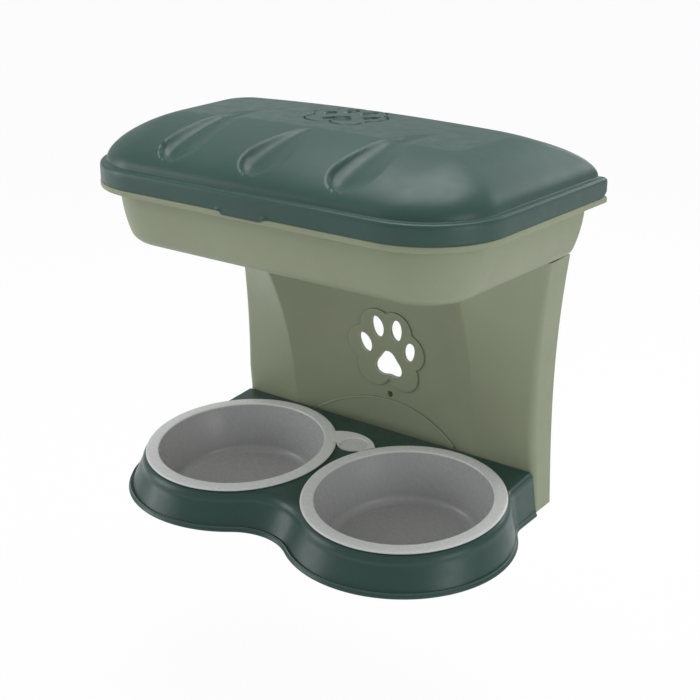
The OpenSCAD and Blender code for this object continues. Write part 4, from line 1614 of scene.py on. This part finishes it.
@dataclass
class Studio:
    """Camera, floor, world and soft lights."""

    camera_at: Spot = (0.8586, -1.2724, 0.6467)
    camera_turn: Spot = (68.862, 0.0, 36.404)
    lens: float = 66.15
    floor_z: float = -0.34

    def camera(self) -> None:
        """Set the camera to the photograph's view."""
        data = bpy.data.cameras.new("view")
        data.lens, data.sensor_width = self.lens, 36.0
        data.clip_start, data.clip_end = 0.05, 100.0
        camera = bpy.data.objects.new("view", data)
        camera.location = self.camera_at
        camera.rotation_euler = Euler([math.radians(a) for a in self.camera_turn])
        bpy.context.scene.collection.objects.link(camera)
        bpy.context.scene.camera = camera

    def floor(self) -> None:
        """Lay a pale floor below the feeder."""
        bm = bmesh.new()
        bmesh.ops.create_grid(bm, x_segments=1, y_segments=1, size=30.0)
        bmesh.ops.translate(bm, verts=bm.verts[:], vec=(0, 0, self.floor_z))
        floor = finish_mesh(bm, "floor", turn=False)
        material = bpy.data.materials.new("pale_floor")
        material.use_nodes = True
        tree = material.node_tree
        shader = tree.nodes["Principled BSDF"]
        shader.inputs["Base Color"].default_value = (0.9, 0.9, 0.9, 1)
        shader.inputs["Roughness"].default_value = 0.9
        shader.inputs["Specular IOR Level"].default_value = 0.0
        glow = tree.nodes.new("ShaderNodeEmission")
        glow.inputs["Color"].default_value = (1, 1, 1, 1)
        path = tree.nodes.new("ShaderNodeLightPath")
        share = tree.nodes.new("ShaderNodeMath")
        share.operation = "MAXIMUM"
        part = tree.nodes.new("ShaderNodeMath")
        part.operation = "MULTIPLY"
        part.inputs[1].default_value = 0.95
        mixer = tree.nodes.new("ShaderNodeMixShader")
        for source, target in (
                (path.outputs["Is Camera Ray"], share.inputs[0]),
                (path.outputs["Is Glossy Ray"], share.inputs[1]),
                (share.outputs[0], part.inputs[0]), (part.outputs[0], mixer.inputs["Fac"]),
                (shader.outputs["BSDF"], mixer.inputs[1]),
                (glow.outputs["Emission"], mixer.inputs[2]),
                (mixer.outputs["Shader"], tree.nodes["Material Output"].inputs["Surface"])):
            tree.links.new(source, target)
        floor.data.materials.append(material)

    def world(self) -> None:
        """Light everything evenly, and show white behind it."""
        world = bpy.data.worlds.new("studio")
        bpy.context.scene.world = world
        world.use_nodes = True
        tree = world.node_tree
        soft = tree.nodes["Background"]
        soft.inputs["Color"].default_value = (1, 1, 1, 1)
        soft.inputs["Strength"].default_value = 0.5
        white = tree.nodes.new("ShaderNodeBackground")
        white.inputs["Color"].default_value = (1, 1, 1, 1)
        white.inputs["Strength"].default_value = 1.0
        path = tree.nodes.new("ShaderNodeLightPath")
        mixer = tree.nodes.new("ShaderNodeMixShader")
        for source, target in (
                (path.outputs["Is Camera Ray"], mixer.inputs["Fac"]),
                (soft.outputs["Background"], mixer.inputs[1]),
                (white.outputs["Background"], mixer.inputs[2]),
                (mixer.outputs["Shader"], tree.nodes["World Output"].inputs["Surface"])):
            tree.links.new(source, target)

    def lamp(self, name: str, at: Spot, aim: Spot, size: Point, power: float) -> None:
        """Hang one soft lamp.

        Args:
            name: Name of the lamp.
            at: Its place in metres.
            aim: The point that it faces.
            size: Width and height in metres.
            power: Power in watts.
        """
        data = bpy.data.lights.new(name, "AREA")
        data.shape, data.size, data.size_y, data.energy = "RECTANGLE", size[0], size[1], power
        lamp = bpy.data.objects.new(name, data)
        lamp.location = at
        lamp.rotation_euler = (Vector(aim) - Vector(at)).to_track_quat("-Z", "Y").to_euler()
        bpy.context.scene.collection.objects.link(lamp)

    def build(self) -> None:
        """Set the stage."""
        self.camera()
        self.world()
        self.floor()
        self.lamp("top_softbox", (-0.1, 0.2, 1.9), (0, -0.15, 0.2), (1.6, 1.2), 21.0)
        self.lamp("front_left", (-1.9, -1.3, 0.7), (0, -0.1, 0.1), (1.0, 1.4), 13.0)
        self.lamp("side_right", (2.1, -0.5, 0.5), (0, -0.1, 0.1), (0.9, 1.2), 8.0)
        self.lamp("rear_sheen", (0.5, 1.9, 1.0), (0, -0.15, 0.35), (1.6, 0.7), 10.0)
        bpy.context.scene.view_settings.view_transform = "Standard"


def main() -> None:
    """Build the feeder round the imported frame."""
    logging.basicConfig(level=logging.INFO, format="%(name)s: %(message)s")
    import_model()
    Studio().build()
    palette = Palette()
    makers: list[Callable[[Palette], None]] = [
        Column().build, StorageBin().build, Lid().build, BowlTray().build,
        Bowl(Side.LEFT).build, Bowl(Side.RIGHT).build, SteelParts().build]
    for make in makers:
        make(palette)


if __name__ == "__main__":
    main()
